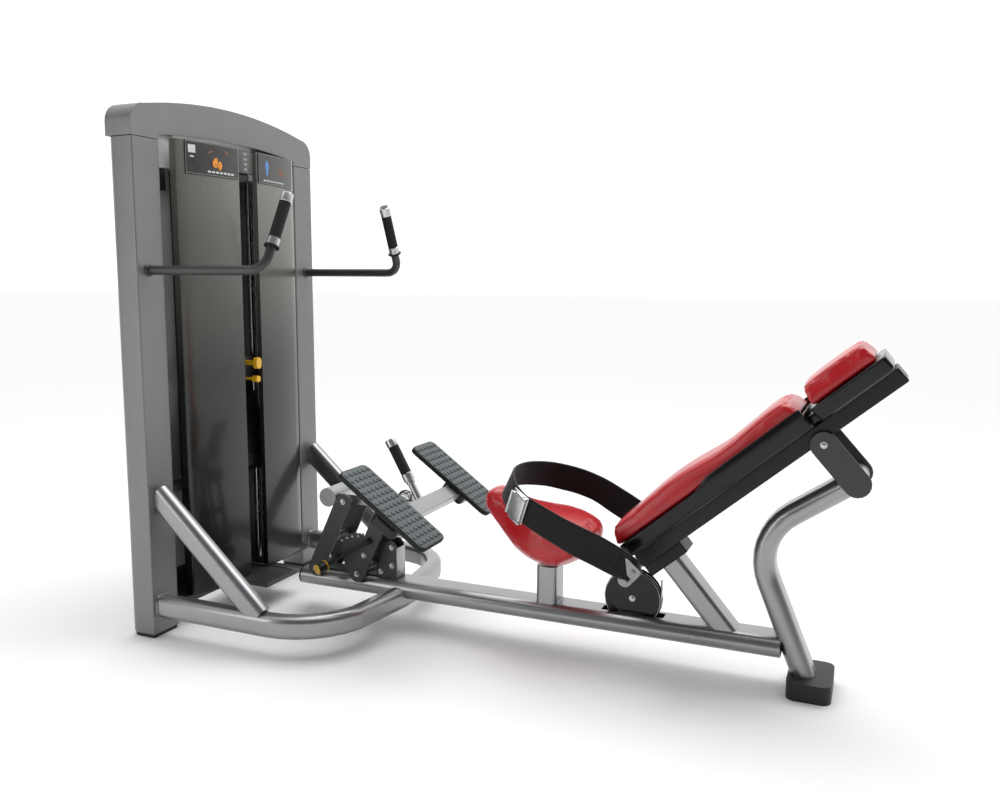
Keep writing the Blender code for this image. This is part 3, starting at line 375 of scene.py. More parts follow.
for node, look, radius in (
        ("column_left", tower_paint, 0.0015), ("column_right", tower_paint, 0.0015),
        # the top crossbar's pale paint is partly its silver and partly a painted reflection
        ("top_cap", tower_paint, 0), ("top_crossbar", pale_silver_and_reflection, 0.002),
        ("base_hoop", silver_paint, 0), ("brace_left", silver_paint, 0), ("brace_right", silver_paint, 0),
        ("rear_strut", silver_paint, 0), ("seat_post", silver_paint, 0), ("rear_post", silver_paint, 0),
        ("main_beam", silver_paint, 0), ("tower_base", charcoal_paint, 0.001),
        ("stack_support", charcoal_paint, 0.001), ("front_panel_left", panel_olive_shaded, 0),
        ("front_panel_right", panel_olive_shaded, 0), ("rear_panel", charcoal_paint, 0.0005),
        ("plates_resting", cast_black, 0), ("plate_selected", cast_black, 0),
        ("stack_head", cast_black, 0.0015), ("top_pulley_bracket", black_paint, 0),
        ("back_frame", satin_black, 0), ("belt_yoke", zinc_plate, 0),
        ("foot_bracket", charcoal_paint, 0), ("ratchet_sector", charcoal_paint, 0.0006),
        ("arm_front", charcoal_paint, 0), ("arm_rear", charcoal_paint, 0),
        ("link_plate_left", charcoal_paint, 0), ("link_plate_right", charcoal_paint, 0),
        ("stretch_bar_left", charcoal_paint, 0), ("stretch_bar_right", charcoal_paint, 0),
        ("column_foot_left", foot_rubber, 0.001), ("column_foot_right", foot_rubber, 0.001),
        ("rear_foot", foot_rubber, 0), ("rest_block", black_plastic, 0),
        ("disc_guard", black_paint, 0), ("selector_pin", yellow_plastic, 0.001),
        ("addon_dial", yellow_plastic, 0)):
    softened(node, look, radius)
for node, look in (("guide_rod_left", bright_steel), ("guide_rod_right", bright_steel),
                   ("lift_cable", bright_steel), ("drive_cable", bright_steel), ("top_pulley", black_plastic),
                   ("idler_pulley", black_plastic), ("base_pulley", black_plastic),
                   ("cable_disc", black_paint), ("placard_left", black_plastic),
                   ("placard_right", black_plastic), ("foot_frame", silver_paint)):
    softened(node, look, 0)
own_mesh(bpy.data.objects["soft_lift_cable"])
print("packed solids softened")

# %% [markdown]
# Small turned and boxed shapes come up again and again: collars, caps, washers, bolt heads, strips. Each is
# a few operators on a bmesh, and `merge_into` lets many of them share one piece.

# %% Shape helpers
def turn_to(place, direction):
    """A matrix that stands +Z along a direction at a place."""
    return Matrix.Translation(place) @ Vector(direction).to_track_quat("Z", "Y").to_matrix().to_4x4()


def add_turned(shape, profile, place, direction, steps=40):
    """Spin a (radius, height) profile about an axis through a place. It runs bottom to top, outside."""
    points = [shape.verts.new((radius, 0, height)) for radius, height in profile]
    edges = [shape.edges.new(pair) for pair in zip(points, points[1:])]
    bmesh.ops.spin(shape, geom=points + edges, cent=(0, 0, 0), axis=(0, 0, 1),
                   angle=2 * math.pi, steps=steps, use_merge=True)
    faces = [face for point in points for face in point.link_faces]
    ring = set()
    todo = list(faces)
    while todo:
        face = todo.pop()
        if face in ring:
            continue
        ring.add(face)
        todo += [other for edge in face.edges for other in edge.link_faces if other not in ring]
    verts = list({vert for face in ring for vert in face.verts})
    bmesh.ops.remove_doubles(shape, verts=verts, dist=0.00001)
    verts = [vert for vert in verts if vert.is_valid]
    bmesh.ops.recalc_face_normals(shape, faces=[face for face in ring if face.is_valid])
    bmesh.ops.transform(shape, matrix=turn_to(place, direction), verts=verts)
    return verts


def add_box(shape, low, high, turn=Matrix.Identity(4), edge=0.001, segments=2):
    """A box between two corners of a turned frame, with bevelled edges."""
    low, high = Vector(low), Vector(high)
    made = bmesh.ops.create_cube(shape, size=1.0)["verts"]
    bmesh.ops.scale(shape, vec=high - low, verts=made)
    bmesh.ops.translate(shape, vec=(low + high) / 2, verts=made)
    if edge:
        edges = list({e for vert in made for e in vert.link_edges})
        rounded = bevelled(shape, edges, edge, segments)
        made = list({vert for face in rounded["faces"] for vert in face.verts}
                    | {vert for vert in made if vert.is_valid})
    bmesh.ops.transform(shape, matrix=turn, verts=made)
    return made


def add_bolt(shape, place, direction, radius=0.007, washer=True):
    """A hex head with a chamfer on a washer, as seen on every pivot."""
    turn = turn_to(place, direction)
    if washer:
        add_turned(shape, [(0, 0), (radius * 1.45, 0), (radius * 1.5, 0.0006), (radius * 1.45, 0.0016),
                           (0, 0.0016)], place, direction, 28)
    head = bmesh.ops.create_cone(shape, cap_ends=True, segments=6, radius1=radius, radius2=radius,
                                 depth=radius * 0.8)["verts"]
    bmesh.ops.translate(shape, vec=(0, 0, radius * 0.4 + 0.0014), verts=head)
    edges = list({edge for vert in head for edge in vert.link_edges})
    soft = bevelled(shape, edges, radius * 0.12)
    verts = list({vert for face in soft["faces"] for vert in face.verts} | {v for v in head if v.is_valid})
    bmesh.ops.transform(shape, matrix=turn, verts=verts)


def add_swept(shape, rings, closed=False):
    """Skin rings of places, each bridged to the next. A closed run joins its ends, an open one is capped."""
    loops = []
    for ring in rings:
        verts = [shape.verts.new(place) for place in ring]
        loops.append([shape.edges.new((verts[i - 1], verts[i])) for i in range(len(verts))])
    pairs = list(zip(loops, loops[1:]))
    if closed:
        pairs = [(loops[-1], loops[0])] + pairs
    for first, second in pairs:
        bmesh.ops.bridge_loops(shape, edges=first + second)
    if not closed:
        bmesh.ops.holes_fill(shape, edges=loops[0] + loops[-1], sides=0)
    faces = {face for loop in loops for edge in loop for face in edge.link_faces}
    bmesh.ops.recalc_face_normals(shape, faces=list(faces))
    return loops


def add_tube(shape, path, radius, sides=12, closed=False):
    """A round bead, bar or cord along a path, with its rings square to the path."""
    rings, count = [], len(path)
    side = None
    for index, place in enumerate(path):
        before = path[(index - 1) % count] if closed else path[max(index - 1, 0)]
        after = path[(index + 1) % count] if closed else path[min(index + 1, count - 1)]
        along = (after - before).normalized()
        if side is None:
            side = along.orthogonal().normalized()
        side = (side - along * side.dot(along)).normalized()
        up = along.cross(side)
        rings.append([place + (side * math.cos(a) + up * math.sin(a)) * radius
                      for a in (2 * math.pi * step / sides for step in range(sides))])
    return add_swept(shape, rings, closed)


def spaced(loop, gap):
    """Places about a gap apart along a closed line."""
    places = []
    for first, second in zip(loop, loop[1:] + loop[:1]):
        parts = max(1, int((second - first).length / gap))
        places += [first.lerp(second, part / parts) for part in range(parts)]
    return places


def rounded_loop(x_half, y_half, corner, steps=6):
    """The outline of a rounded rectangle about its middle, as (x, y) pairs."""
    loop = []
    for cx, cy, start in ((x_half - corner, y_half - corner, 0), (corner - x_half, y_half - corner, 90),
                          (corner - x_half, corner - y_half, 180), (x_half - corner, corner - y_half, 270)):
        for step in range(steps + 1):
            angle = math.radians(start + 90 * step / steps)
            loop.append((cx + corner * math.cos(angle), cy + corner * math.sin(angle)))
    return loop


def smooth_path(points, count):
    """Places spread evenly along a curve that passes through the given points."""
    knots = [Vector(point) for point in points]
    fine = []
    for i in range(len(knots) - 1):
        p0, p1 = knots[max(i - 1, 0)], knots[i]
        p2, p3 = knots[i + 1], knots[min(i + 2, len(knots) - 1)]
        for step in range(24):
            t = step / 24
            fine.append(0.5 * (2 * p1 + (p2 - p0) * t + (2 * p0 - 5 * p1 + 4 * p2 - p3) * t * t
                               + (3 * p1 - p0 - 3 * p2 + p3) * t * t * t))
    fine.append(knots[-1])
    lengths = [0.0]
    for first, second in zip(fine, fine[1:]):
        lengths.append(lengths[-1] + (Vector(second[:3]) - Vector(first[:3])).length)
    places, at_index = [], 0
    for step in range(count):
        want = lengths[-1] * step / (count - 1)
        while at_index < len(lengths) - 2 and lengths[at_index + 1] < want:
            at_index += 1
        span = lengths[at_index + 1] - lengths[at_index]
        places.append(fine[at_index].lerp(fine[at_index + 1], (want - lengths[at_index]) / max(span, 1e-9)))
    return places


print("shape helpers ready")

# %% [markdown]
# The back's two cushions and the saddle are foam under stretched red vinyl. A modelled block would look
# like a brick, so each starts as its plain shape, is remeshed fine, and is blown up a little by a cloth
# simulation, with the swelling capped so the base stays on its board. The crease where top meets side is
# laid on afterwards.

# %% Blowing up a cushion
def stuffed(name, shape, cap, floor_of=None, frames=20, pressure=4.0, voxel=0.006):
    """A closed shape remeshed, swelled by cloth pressure and held within a cap; returns its bmesh."""
    mesh = bpy.data.meshes.new(name + "_form")
    shape.to_mesh(mesh)
    shape.free()
    form = bpy.data.objects.new(name + "_form", mesh)
    bpy.context.scene.collection.objects.link(form)
    remesh = form.modifiers.new("voxels", "REMESH")
    remesh.mode = "VOXEL"
    remesh.voxel_size = voxel
    bpy.context.view_layer.update()
    graph = bpy.context.evaluated_depsgraph_get()
    even = bpy.data.meshes.new_from_object(form.evaluated_get(graph))
    bpy.data.objects.remove(form, do_unlink=True)
    start = [vert.co.copy() for vert in even.vertices]
    puffed = bpy.data.objects.new(name + "_cloth", even)
    bpy.context.scene.collection.objects.link(puffed)
    cloth = puffed.modifiers.new("foam", "CLOTH")
    cloth.settings.use_pressure = True
    cloth.settings.uniform_pressure_force = pressure
    cloth.settings.quality = 4
    cloth.settings.mass = 0.3
    cloth.settings.effector_weights.gravity = 0.0
    cloth.point_cache.frame_start, cloth.point_cache.frame_end = 1, frames
    for number in range(1, frames + 1):
        bpy.context.scene.frame_set(number)
    graph = bpy.context.evaluated_depsgraph_get()
    even = bpy.data.meshes.new_from_object(puffed.evaluated_get(graph))
    bpy.data.objects.remove(puffed, do_unlink=True)
    bpy.context.scene.frame_set(1)
    done = bmesh.new()
    done.from_mesh(even)
    done.verts.ensure_lookup_table()
    for vert, first in zip(done.verts, start):
        shift = vert.co - first
        if shift.length > cap:
            shift = shift.normalized() * cap
        vert.co = first + shift
        if floor_of is not None:
            vert.co = floor_of(vert.co)
    bmesh.ops.smooth_vert(done, verts=done.verts, factor=0.5, use_axis_x=True, use_axis_y=True,
                          use_axis_z=True)
    return done


# %% [markdown]
# The long back cushion is thickest under the small of the back, dips above it, and ends in a rounded
# shoulder. Its sides slope in to a crease, and the top between the creases is gently crowned. The head
# cushion is a short copy.

# %% Back and head cushions
CUSHION_BASE = -0.611


def cushion_form(low, high, half, crown):
    """A block up the back whose top follows a crown, with sides that lean in and softly rounded ends."""
    shape = bmesh.new()
    bmesh.ops.create_cube(shape, size=1.0)
    bmesh.ops.subdivide_edges(shape, edges=shape.edges, cuts=31, use_grid_fill=True)
    for vert in shape.verts:
        share, across, up = vert.co.x + 0.5, vert.co.y * 2, vert.co.z + 0.5
        end = min(1.0, min(share, 1 - share) / 0.035)
        rounding = math.sqrt(max(0.0, 1 - (1 - end) ** 2))
        height = crown(share) * (0.80 + 0.20 * rounding) * (1 - 0.10 * across * across * (up > 0.5))
        lean = 1 - 0.10 * up ** 1.5 - 0.03 * (1 - up) ** 2
        pull = 0.010 * up * (1 - end) * (1 if share < 0.5 else -1)
        vert.co = Vector((low + (high - low) * share + pull, half * across * lean,
                          CUSHION_BASE + height * up))
    return shape


def crown_long(share):
    """Thickness of the long cushion from its low end (0) to its shoulder (1)."""
    swell = math.exp(-((share - 0.36) / 0.19) ** 2)
    shoulder = math.exp(-((share - 0.90) / 0.10) ** 2)
    return 0.047 + 0.012 * swell + 0.005 * shoulder - 0.004 * math.exp(-((share - 0.63) / 0.1) ** 2)


def crown_head(share):
    return 0.049 + 0.004 * math.sin(math.pi * share)


def on_board(place):
    """Keep the cushion on its board, and inside the shell's raised lip where that stands up the side."""
    place.z = max(place.z, CUSHION_BASE)
    widest = 0.1385 if place.x > 1.585 and place.z < -0.5935 else 0.1465
    place.y = max(-widest, min(widest, place.y))
    return place


def upholster(name, cushion, body, node):
    """File a padded cushion in red vinyl, smoothed once."""
    piece = commit(name, cushion, red_vinyl, body, (node,), 180)
    fine = piece.modifiers.new("fine", "SUBSURF")
    fine.levels = fine.render_levels = 1


def lay_crease(name, cushion, low, high, half, height, look, body):
    """A thin welt pressed into the cushion where its top meets its sides."""
    tree = BVHTree.FromBMesh(cushion)
    middle = (low + high) / 2
    outline = [Vector((middle + u, y, height)) for u, y in rounded_loop((high - low) / 2, half, 0.035)]
    found = [tree.find_nearest(place)[0] for place in spaced(outline, 0.008)]
    for _ in range(6):
        found = [(found[i - 1] + found[i] * 2 + found[(i + 1) % len(found)]) / 4 for i in range(len(found))]
    found = [BACK_TURN @ tree.find_nearest(place)[0] for place in found]
    shape = bmesh.new()
    add_tube(shape, found, 0.0016, 8, closed=True)
    return commit(name, shape, look, body)


for name, node, low, high, crown, height in (
        ("back_cushion", "back_pad", 1.287, 1.911, crown_long, -0.556),
        ("head_cushion", "head_pad", 1.931, 2.134, crown_head, -0.560)):
    form = cushion_form(low, high, 0.138, crown)
    cushion = stuffed(name, form, 0.008, on_board)
    lay_crease(name + "_welt", cushion, low + 0.010, high - 0.010, 0.128, height + 0.002, red_vinyl, "back")
    cushion.transform(BACK_TURN)
    upholster(name, cushion, "back", node)
print("back cushions made")

# %% [markdown]
# The saddle is carved foam: a raised rounded nose, a narrow neck, then a broad dished seat with deep sides
# that run down to its post. Rings of a squashed circle along its length give that form, and the swelling
# tightens it.

# %% Saddle
def saddle_form():
    stations = [  # along the machine, half width, underside, top
        (0.929, 0.018, 0.432, 0.452), (0.934, 0.034, 0.418, 0.466), (0.946, 0.048, 0.404, 0.477),
        (0.966, 0.058, 0.385, 0.482), (0.990, 0.064, 0.358, 0.472), (1.018, 0.076, 0.327, 0.458),
        (1.050, 0.097, 0.298, 0.447), (1.085, 0.120, 0.279, 0.440), (1.120, 0.139, 0.268, 0.434),
        (1.160, 0.149, 0.264, 0.427), (1.200, 0.150, 0.272, 0.415), (1.235, 0.139, 0.292, 0.403),
        (1.262, 0.114, 0.314, 0.393), (1.277, 0.082, 0.332, 0.385), (1.282, 0.048, 0.346, 0.374)]
    rings = []
    for x, half, low, high in stations:
        ring = []
        for step in range(40):
            angle = 2 * math.pi * step / 40
            side, lift = math.cos(angle), math.sin(angle)
            y = half * math.copysign(abs(side) ** 0.72, side)
            rise = math.copysign(abs(lift) ** (0.85 if lift < 0 else 0.50), lift)
            z = (low + high) / 2 + (high - low) / 2 * rise
            if lift < 0:
                y *= 1 - 0.42 * lift * lift
            dish = 0.014 * max(0.0, 1 - abs(x - 1.13) / 0.13)
            if lift > 0.5:
                z -= dish * (1 - (y / half) ** 2)
            ring.append(at(x, y, z))
        rings.append(ring)
    shape = bmesh.new()
    add_swept(shape, rings)
    return shape


def off_post(place):
    place.z = max(place.z, 0.2605)
    return place


saddle = stuffed("saddle", saddle_form(), 0.006, off_post, voxel=0.005)
upholster("saddle", saddle, "frame", "seat_pad")
print("saddle made")

# %% [markdown]
# The hip belt is one long strap of heavy black webbing that runs from ear to ear round the hips. It is
# modelled directly, as a flat section carried along its route, because a remesh would eat something so
# thin. A second layer runs back from the buckle, and both edges carry a thin bound cord.

# %% Hip belt
BELT_PIVOT_X, BELT_PIVOT_Z = 1.441, 0.331
BELT_END = 160
half_route = [  # along the machine, out to the side, left height, right height, half width
    (BELT_PIVOT_X, 0.190, BELT_PIVOT_Z, BELT_PIVOT_Z, 0.032), (1.400, 0.1945, 0.350, 0.355, 0.039),
    (1.340, 0.198, 0.377, 0.391, 0.042), (1.280, 0.200, 0.400, 0.423, 0.042),
    (1.225, 0.199, 0.423, 0.452, 0.040), (1.170, 0.193, 0.446, 0.472, 0.040),
    (1.122, 0.179, 0.465, 0.485, 0.040), (1.078, 0.150, 0.484, 0.498, 0.040),
    (1.042, 0.103, 0.501, 0.508, 0.041), (1.021, 0.052, 0.511, 0.514, 0.041),
    (1.015, 0.000, 0.515, 0.515, 0.041)]
belt_route = [Vector((x, -y, z, w)) for x, y, z, _, w in half_route]
belt_route += [Vector((x, y, z, w)) for x, y, _, z, w in reversed(half_route[:-1])]
belt_line = smooth_path(belt_route, BELT_END + 1)


def belt_frame(index):
    """Place, run, outward and up directions, and half width, at one station of the belt."""
    x, y, z, width = belt_line[index]
    before, after = belt_line[max(index - 1, 0)], belt_line[min(index + 1, BELT_END)]
    along = (Vector(after[:3]) - Vector(before[:3])).normalized()
    outward = Vector((-along.y, along.x, 0)).normalized()
    lean = 0.45 * min(1.0, max(0.0, (1.12 - x) / 0.10))
    up = (along.cross(outward) - outward * lean).normalized()
    return at(x, y, z), along, up.cross(along).normalized(), up, width


def add_strap(shape, first, last, inner, outer, share=1.0):
    """A strap between two stations, from inner to outer across its thickness, with its own UV map."""
    layer = shape.loops.layers.uv.verify()
    rings, runs, far = [], [], 0.0
    for index in range(first, last + 1):
        place, _, outward, up, width = belt_frame(index)
        width *= share
        if rings:
            far += (place - last_place).length
        last_place = place
        runs.append(far)
        low, high = outward * inner, outward * outer
        edge = 0.0012
        rings.append([place + up * width + low + outward * edge, place + up * width + high - outward * edge,
                      place + up * (width - edge) + high, place - up * (width - edge) + high,
                      place - up * width + high - outward * edge, place - up * width + low + outward * edge,
                      place - up * (width - edge) + low, place + up * (width - edge) + low])
    loops = add_swept(shape, rings)
    place_of = {}
    for run, loop, ring in zip(runs, loops, rings):
        across = [0, 0.002, 0.003, 0.08, 0.082, 0.084, 0.087, 0.16]
        for edge in loop:
            for vert in edge.verts:
                spot = min(range(8), key=lambda k: (ring[k] - vert.co).length)
                place_of[vert] = (run, across[spot])
    for vert, spot in place_of.items():
        for corner in vert.link_loops:
            corner[layer].uv = spot


belt = bmesh.new()
add_strap(belt, 0, BELT_END, -0.004, 0.0005)
add_strap(belt, 0, BELT_END, 0.0008, 0.0040, 0.98)
commit("hip_belt_strap", belt, black_webbing, "belt", ("hip_belt",), 30)
print("belt stations", len(belt_line))

# %% [markdown]
# A thin cord binds each edge of the belt, in a grey lighter than the strap that paints a highlight along
# both edges. A row of stitches runs just inside it, and the free end of the strap lies over the near side
# as far as the buckle.

# %% Belt edges, stitching and overlap
# painted highlight: the edge cords are a lighter grey than the webbing, so the belt's edges read as catching
# the light
edge_highlight_cord = finish("edge_highlight_cord", (0.055, 0.056, 0.058), 0.5, vary=0.1, bump=0.1)
thread = finish("grey_thread", (0.10, 0.10, 0.105), 0.6, vary=0.2, bump=0.1)
edges = bmesh.new()
stitches = bmesh.new()
for sign in (-1, 1):
    rim = []
    for index in range(BELT_END + 1):
        place, _, outward, up, width = belt_frame(index)
        rim.append(place + up * sign * (width + 0.0004) + outward * 0.0003)
    add_tube(edges, rim, 0.0011, 8)
    for index in range(3, BELT_END - 2):
        place, along, outward, up, width = belt_frame(index)
        spot = place + up * sign * (width - 0.006) + outward * 0.0041
        add_box(stitches, (-0.0017, -0.0004, -0.0003), (0.0017, 0.0004, 0.0003),
                Matrix.Translation(spot) @ Matrix((along, up, outward)).transposed().to_4x4(), 0)
commit("belt_edge_cords", edges, edge_highlight_cord, "belt")
commit("belt_stitching", stitches, thread, "belt")
buckle_place = Vector((1.103, -0.168, 0.473))
buckle_at = min(range(BELT_END // 2), key=lambda k: (Vector(belt_line[k][:3]) - buckle_place).length)
overlap = bmesh.new()
add_strap(overlap, 7, buckle_at + 4, 0.0043, 0.0068, 0.93)
commit("belt_overlap", overlap, black_webbing, "belt", (), 30)
print("belt trimmed, buckle at station", buckle_at)

# %% [markdown]
# The buckle is a cast alloy cam buckle: a base with two cheeks, a rounded lever with a lip, and a pin head
# outside each cheek.

# %% Buckle
place, along, outward, up, _ = belt_frame(buckle_at)
buckle_axes = Matrix((along, outward, up)).transposed().to_4x4()
buckle_turn = Matrix.Translation(place + outward * 0.0068) @ buckle_axes
buckle = bmesh.new()
add_box(buckle, (-0.033, 0.0, -0.0425), (0.033, 0.0045, 0.0425), buckle_turn, 0.0015, 3)
for sign in (-1, 1):
    add_box(buckle, (-0.032, 0.003, sign * 0.0395 - 0.0025), (0.016, 0.015, sign * 0.0395 + 0.0025),
            buckle_turn, 0.0012, 2)
add_box(buckle, (-0.0295, 0.0052, -0.0362), (0.0300, 0.0140, 0.0362), buckle_turn, 0.0036, 4)
add_box(buckle, (0.0270, 0.0100, -0.0362), (0.0330, 0.0165, 0.0362), buckle_turn, 0.0025, 4)
for sign in (-1, 1):
    add_turned(buckle, [(0, 0), (0.0042, 0), (0.0044, 0.0008), (0.0035, 0.0018), (0, 0.0018)],
               buckle_turn @ Vector((-0.020, 0.0095, sign * 0.0420)),
               (buckle_turn.to_3x3() @ Vector((0, 0, sign))), 24)
commit("cam_buckle", buckle, brushed_alloy, "belt", ("belt_buckle",), 40)
print("buckle made")

# %% [markdown]
# Each foot plate is a slab of hard rubber with rounded corners, a plain rim, and six columns of raised oval
# studs. A squashed sphere per stud is enough, half sunk in a thin tread. Black brackets carry each slab
# from below.

# %% Foot plates
STUD_ROWS, STUD_COLUMNS = 13, 6
ROW_PITCH, COLUMN_PITCH = 0.0248, 0.023


def add_slab(shape, length, width, low, high, corner, middle):
    """A flat slab with rounded corners and softened rims, in the foot plates' frame."""
    made = bmesh.ops.create_cube(shape, size=1.0)["verts"]
    bmesh.ops.scale(shape, vec=(length, width, high - low), verts=made)
    upright = [e for e in shape.edges if abs(e.verts[0].co.z - e.verts[1].co.z) > (high - low) / 2]
    bevelled(shape, upright, corner, 8, False)
    rim = [e for e in shape.edges if e.calc_face_angle(0.0) > math.radians(60)]
    bevelled(shape, rim, min(0.003, (high - low) * 0.4), 3, False)
    bmesh.ops.translate(shape, vec=(0.003, middle, (low + high) / 2), verts=shape.verts)


for side, name in ((-1, "left"), (1, "right")):
    middle = side * 0.222
    slab = bmesh.new()
    add_slab(slab, 0.342, 0.148, -0.016, -0.0006, 0.022, middle)
    slab.transform(PLATE_TURN)
    commit("foot_slab_" + name, slab, slab_rubber, "footrest", ("foot_plate_" + name,), 40)
    tread = bmesh.new()
    add_slab(tread, 0.334, 0.140, -0.0012, 0.0, 0.019, middle)
    for row in range(STUD_ROWS):
        for column in range(STUD_COLUMNS):
            x, y = -0.1458 + ROW_PITCH * row, middle - 0.0575 + COLUMN_PITCH * column
            stud = bmesh.ops.create_uvsphere(tread, u_segments=14, v_segments=8, radius=1.0)["verts"]
            bmesh.ops.scale(tread, vec=(0.0078, 0.0092, 0.0042), verts=stud)
            bmesh.ops.translate(tread, vec=(x, y, 0.0), verts=stud)
    tread.transform(PLATE_TURN)
    commit("foot_tread_" + name, tread, tread_rubber, "footrest", (), 40)
    under = bmesh.new()
    add_box(under, (-0.150, middle - 0.062, -0.0205), (-0.016, middle + 0.062, -0.0160), PLATE_TURN, 0.001)
    add_box(under, (0.086, middle - 0.062, -0.0205), (0.156, middle + 0.062, -0.0160), PLATE_TURN, 0.001)
    near, far = sorted((side * 0.165, side * 0.289))
    add_box(under, (-0.010, near, -0.0600), (0.078, far, -0.0162), PLATE_TURN, 0.014, 5)
    commit("foot_backing_" + name, under, black_paint, "footrest")
print("foot plates made")

# %% [markdown]
# The grips are rubber sleeves between aluminium collars. A profile spun about the bar's own axis gives the
# shallow rings, the collar's step and the domed end cap.

# %% Hand grips
def add_sleeve(shape, low, high, radius):
    """A rubber sleeve with shallow rings from low to high."""
    length = (high - low).length
    rings = int(length / 0.0042)
    profile = [(0.0140, 0.0), (radius, 0.0012)]
    for index in range(rings):
        z = 0.004 + (length - 0.008) * index / rings
        profile += [(radius, z), (radius - 0.0006, z + 0.0010), (radius - 0.0006, z + 0.0018),
                    (radius, z + 0.0028)]
    profile += [(radius, length - 0.0012), (0.0140, length)]
    add_turned(shape, profile, low, high - low, 40)


def add_collar(shape, place, direction, radius, length):
    add_turned(shape, [(0.0138, 0), (radius - 0.0012, 0), (radius, 0.0012), (radius, length - 0.0012),
                       (radius - 0.0012, length), (0.0138, length)], place, direction, 44)


for side, name in ((-1, "left"), (1, "right")):
    corner = at(0.409, side * 0.384, 1.129)
    high = at(0.416, side * 0.272, 1.354)
    low = corner.lerp(high, 0.29)
    along = (high - low).normalized()
    sleeve = bmesh.new()
    add_sleeve(sleeve, low + along * 0.030, high - along * 0.034, 0.0172)
    add_turned(sleeve, [(0.0138, 0), (0.0215, 0), (0.0228, 0.0014), (0.0228, 0.0040), (0.0215, 0.0054),
                        (0.0138, 0.0054)], low, along, 40)
    commit("grip_sleeve_" + name, sleeve, grip_rubber, "frame", ("stretch_grip_" + name,))
    metal = bmesh.new()
    add_collar(metal, low + along * 0.0056, along, 0.0182, 0.0240)
    add_turned(metal, [(0.0138, 0), (0.0170, 0), (0.0182, 0.0012), (0.0182, 0.0240), (0.0172, 0.0288),
                       (0.0140, 0.0312), (0.0090, 0.0322), (0, 0.0325)], high - along * 0.0335, along, 44)
    commit("grip_collars_" + name, metal, brushed_alloy, "frame")
    flange = bmesh.new()
    add_turned(flange, [(0.0139, 0), (0.0190, 0), (0.0186, 0.0016), (0.0152, 0.0040), (0.0139, 0.0052)],
               at(0.0004, side * 0.398, 1.130), (1, 0, 0), 40)
    commit("bar_weld_" + name, flange, charcoal_paint, "frame")

foot, top = at(0.694, 0, 0.404), at(0.585, 0, 0.599)
along = (top - foot).normalized()
reach = (top - foot).length
stem = bmesh.new()
add_turned(stem, [(0, 0.012), (0.0118, 0.012), (0.0118, reach * 0.40), (0, reach * 0.40)], foot, along, 36)
add_collar(stem, foot + along * reach * 0.29, along, 0.0150, 0.008)
add_collar(stem, foot + along * reach * 0.335, along, 0.0182, 0.0260)
add_turned(stem, [(0.0138, 0), (0.0170, 0), (0.0182, 0.0012), (0.0182, 0.0200), (0.0172, 0.0238),
                  (0.0140, 0.0256), (0, 0.0262)], top - along * 0.0265, along, 44)
add_box(stem, at(0.634, -0.026, 0.4106), at(0.668, 0.002, 0.4290), edge=0.004, segments=3)
add_bolt(stem, at(0.650, -0.012, 0.4290), (0, 0, 1), 0.0066)
commit("foot_grip_metal", stem, brushed_alloy, "footrest", ("hand_grip",))
sleeve = bmesh.new()
add_sleeve(sleeve, foot + along * (reach * 0.335 + 0.0262), top - along * 0.0268, 0.0172)
commit("foot_grip_sleeve", sleeve, grip_rubber, "footrest")
print("grips made")

# %% [markdown]
# Two instruction cards hang at the top of the front panels, with a narrow one between. Real cards carry
# drawings and words; these carry only plain blocks: a frame line, a picture field, a blob and bars.

# %% Cards
card_face = finish("card_face", (0.035, 0.035, 0.034), 0.30, vary=0.15, patch=40, bump=0.02, coat=0.3)
card_line = finish("card_line", (0.30, 0.30, 0.29), 0.40, vary=0.05, bump=0.02)
card_pale = finish("card_pale", (0.70, 0.71, 0.70), 0.45, vary=0.08, patch=220, bump=0.02)
card_orange = finish("card_orange", (0.80, 0.27, 0.02), 0.45, vary=0.35, patch=130, bump=0.02)
card_blue = finish("card_blue", (0.10, 0.25, 0.60), 0.45, vary=0.30, patch=130, bump=0.02)
card_brown = finish("card_brown", (0.22, 0.08, 0.04), 0.5, vary=0.35, patch=130, bump=0.02)


def panel_x(y):
    """How far a front panel's middle stands in front of the columns at |y|."""
    share = (abs(y) - 0.047) / 0.237
    return 0.058 - 0.028 * share * share


def add_card_bar(shape, side, y_low, y_high, z_low, z_high, lift=0.0050, steps=8):
    """A thin flat bar that follows the curved card."""
    rings = []
    for step in range(steps + 1):
        y = y_low + (y_high - y_low) * step / steps
        x = panel_x(y) + lift
        rings.append([at(x, side * y, z_low), at(x, side * y, z_high), at(x + 0.0005, side * y, z_high),
                      at(x + 0.0005, side * y, z_low)])
    add_swept(shape, rings)


def add_card_blob(shape, side, y, z, width, height, turn=0.0):
    """A flat rounded patch on the card."""
    made = bmesh.ops.create_uvsphere(shape, u_segments=20, v_segments=10, radius=1.0)["verts"]
    bmesh.ops.scale(shape, vec=(0.0009, width, height), verts=made)
    bmesh.ops.rotate(shape, cent=(0, 0, 0), matrix=Matrix.Rotation(turn, 3, "X"), verts=made)
    bmesh.ops.translate(shape, vec=at(panel_x(y) + 0.0050, side * y, z), verts=made)


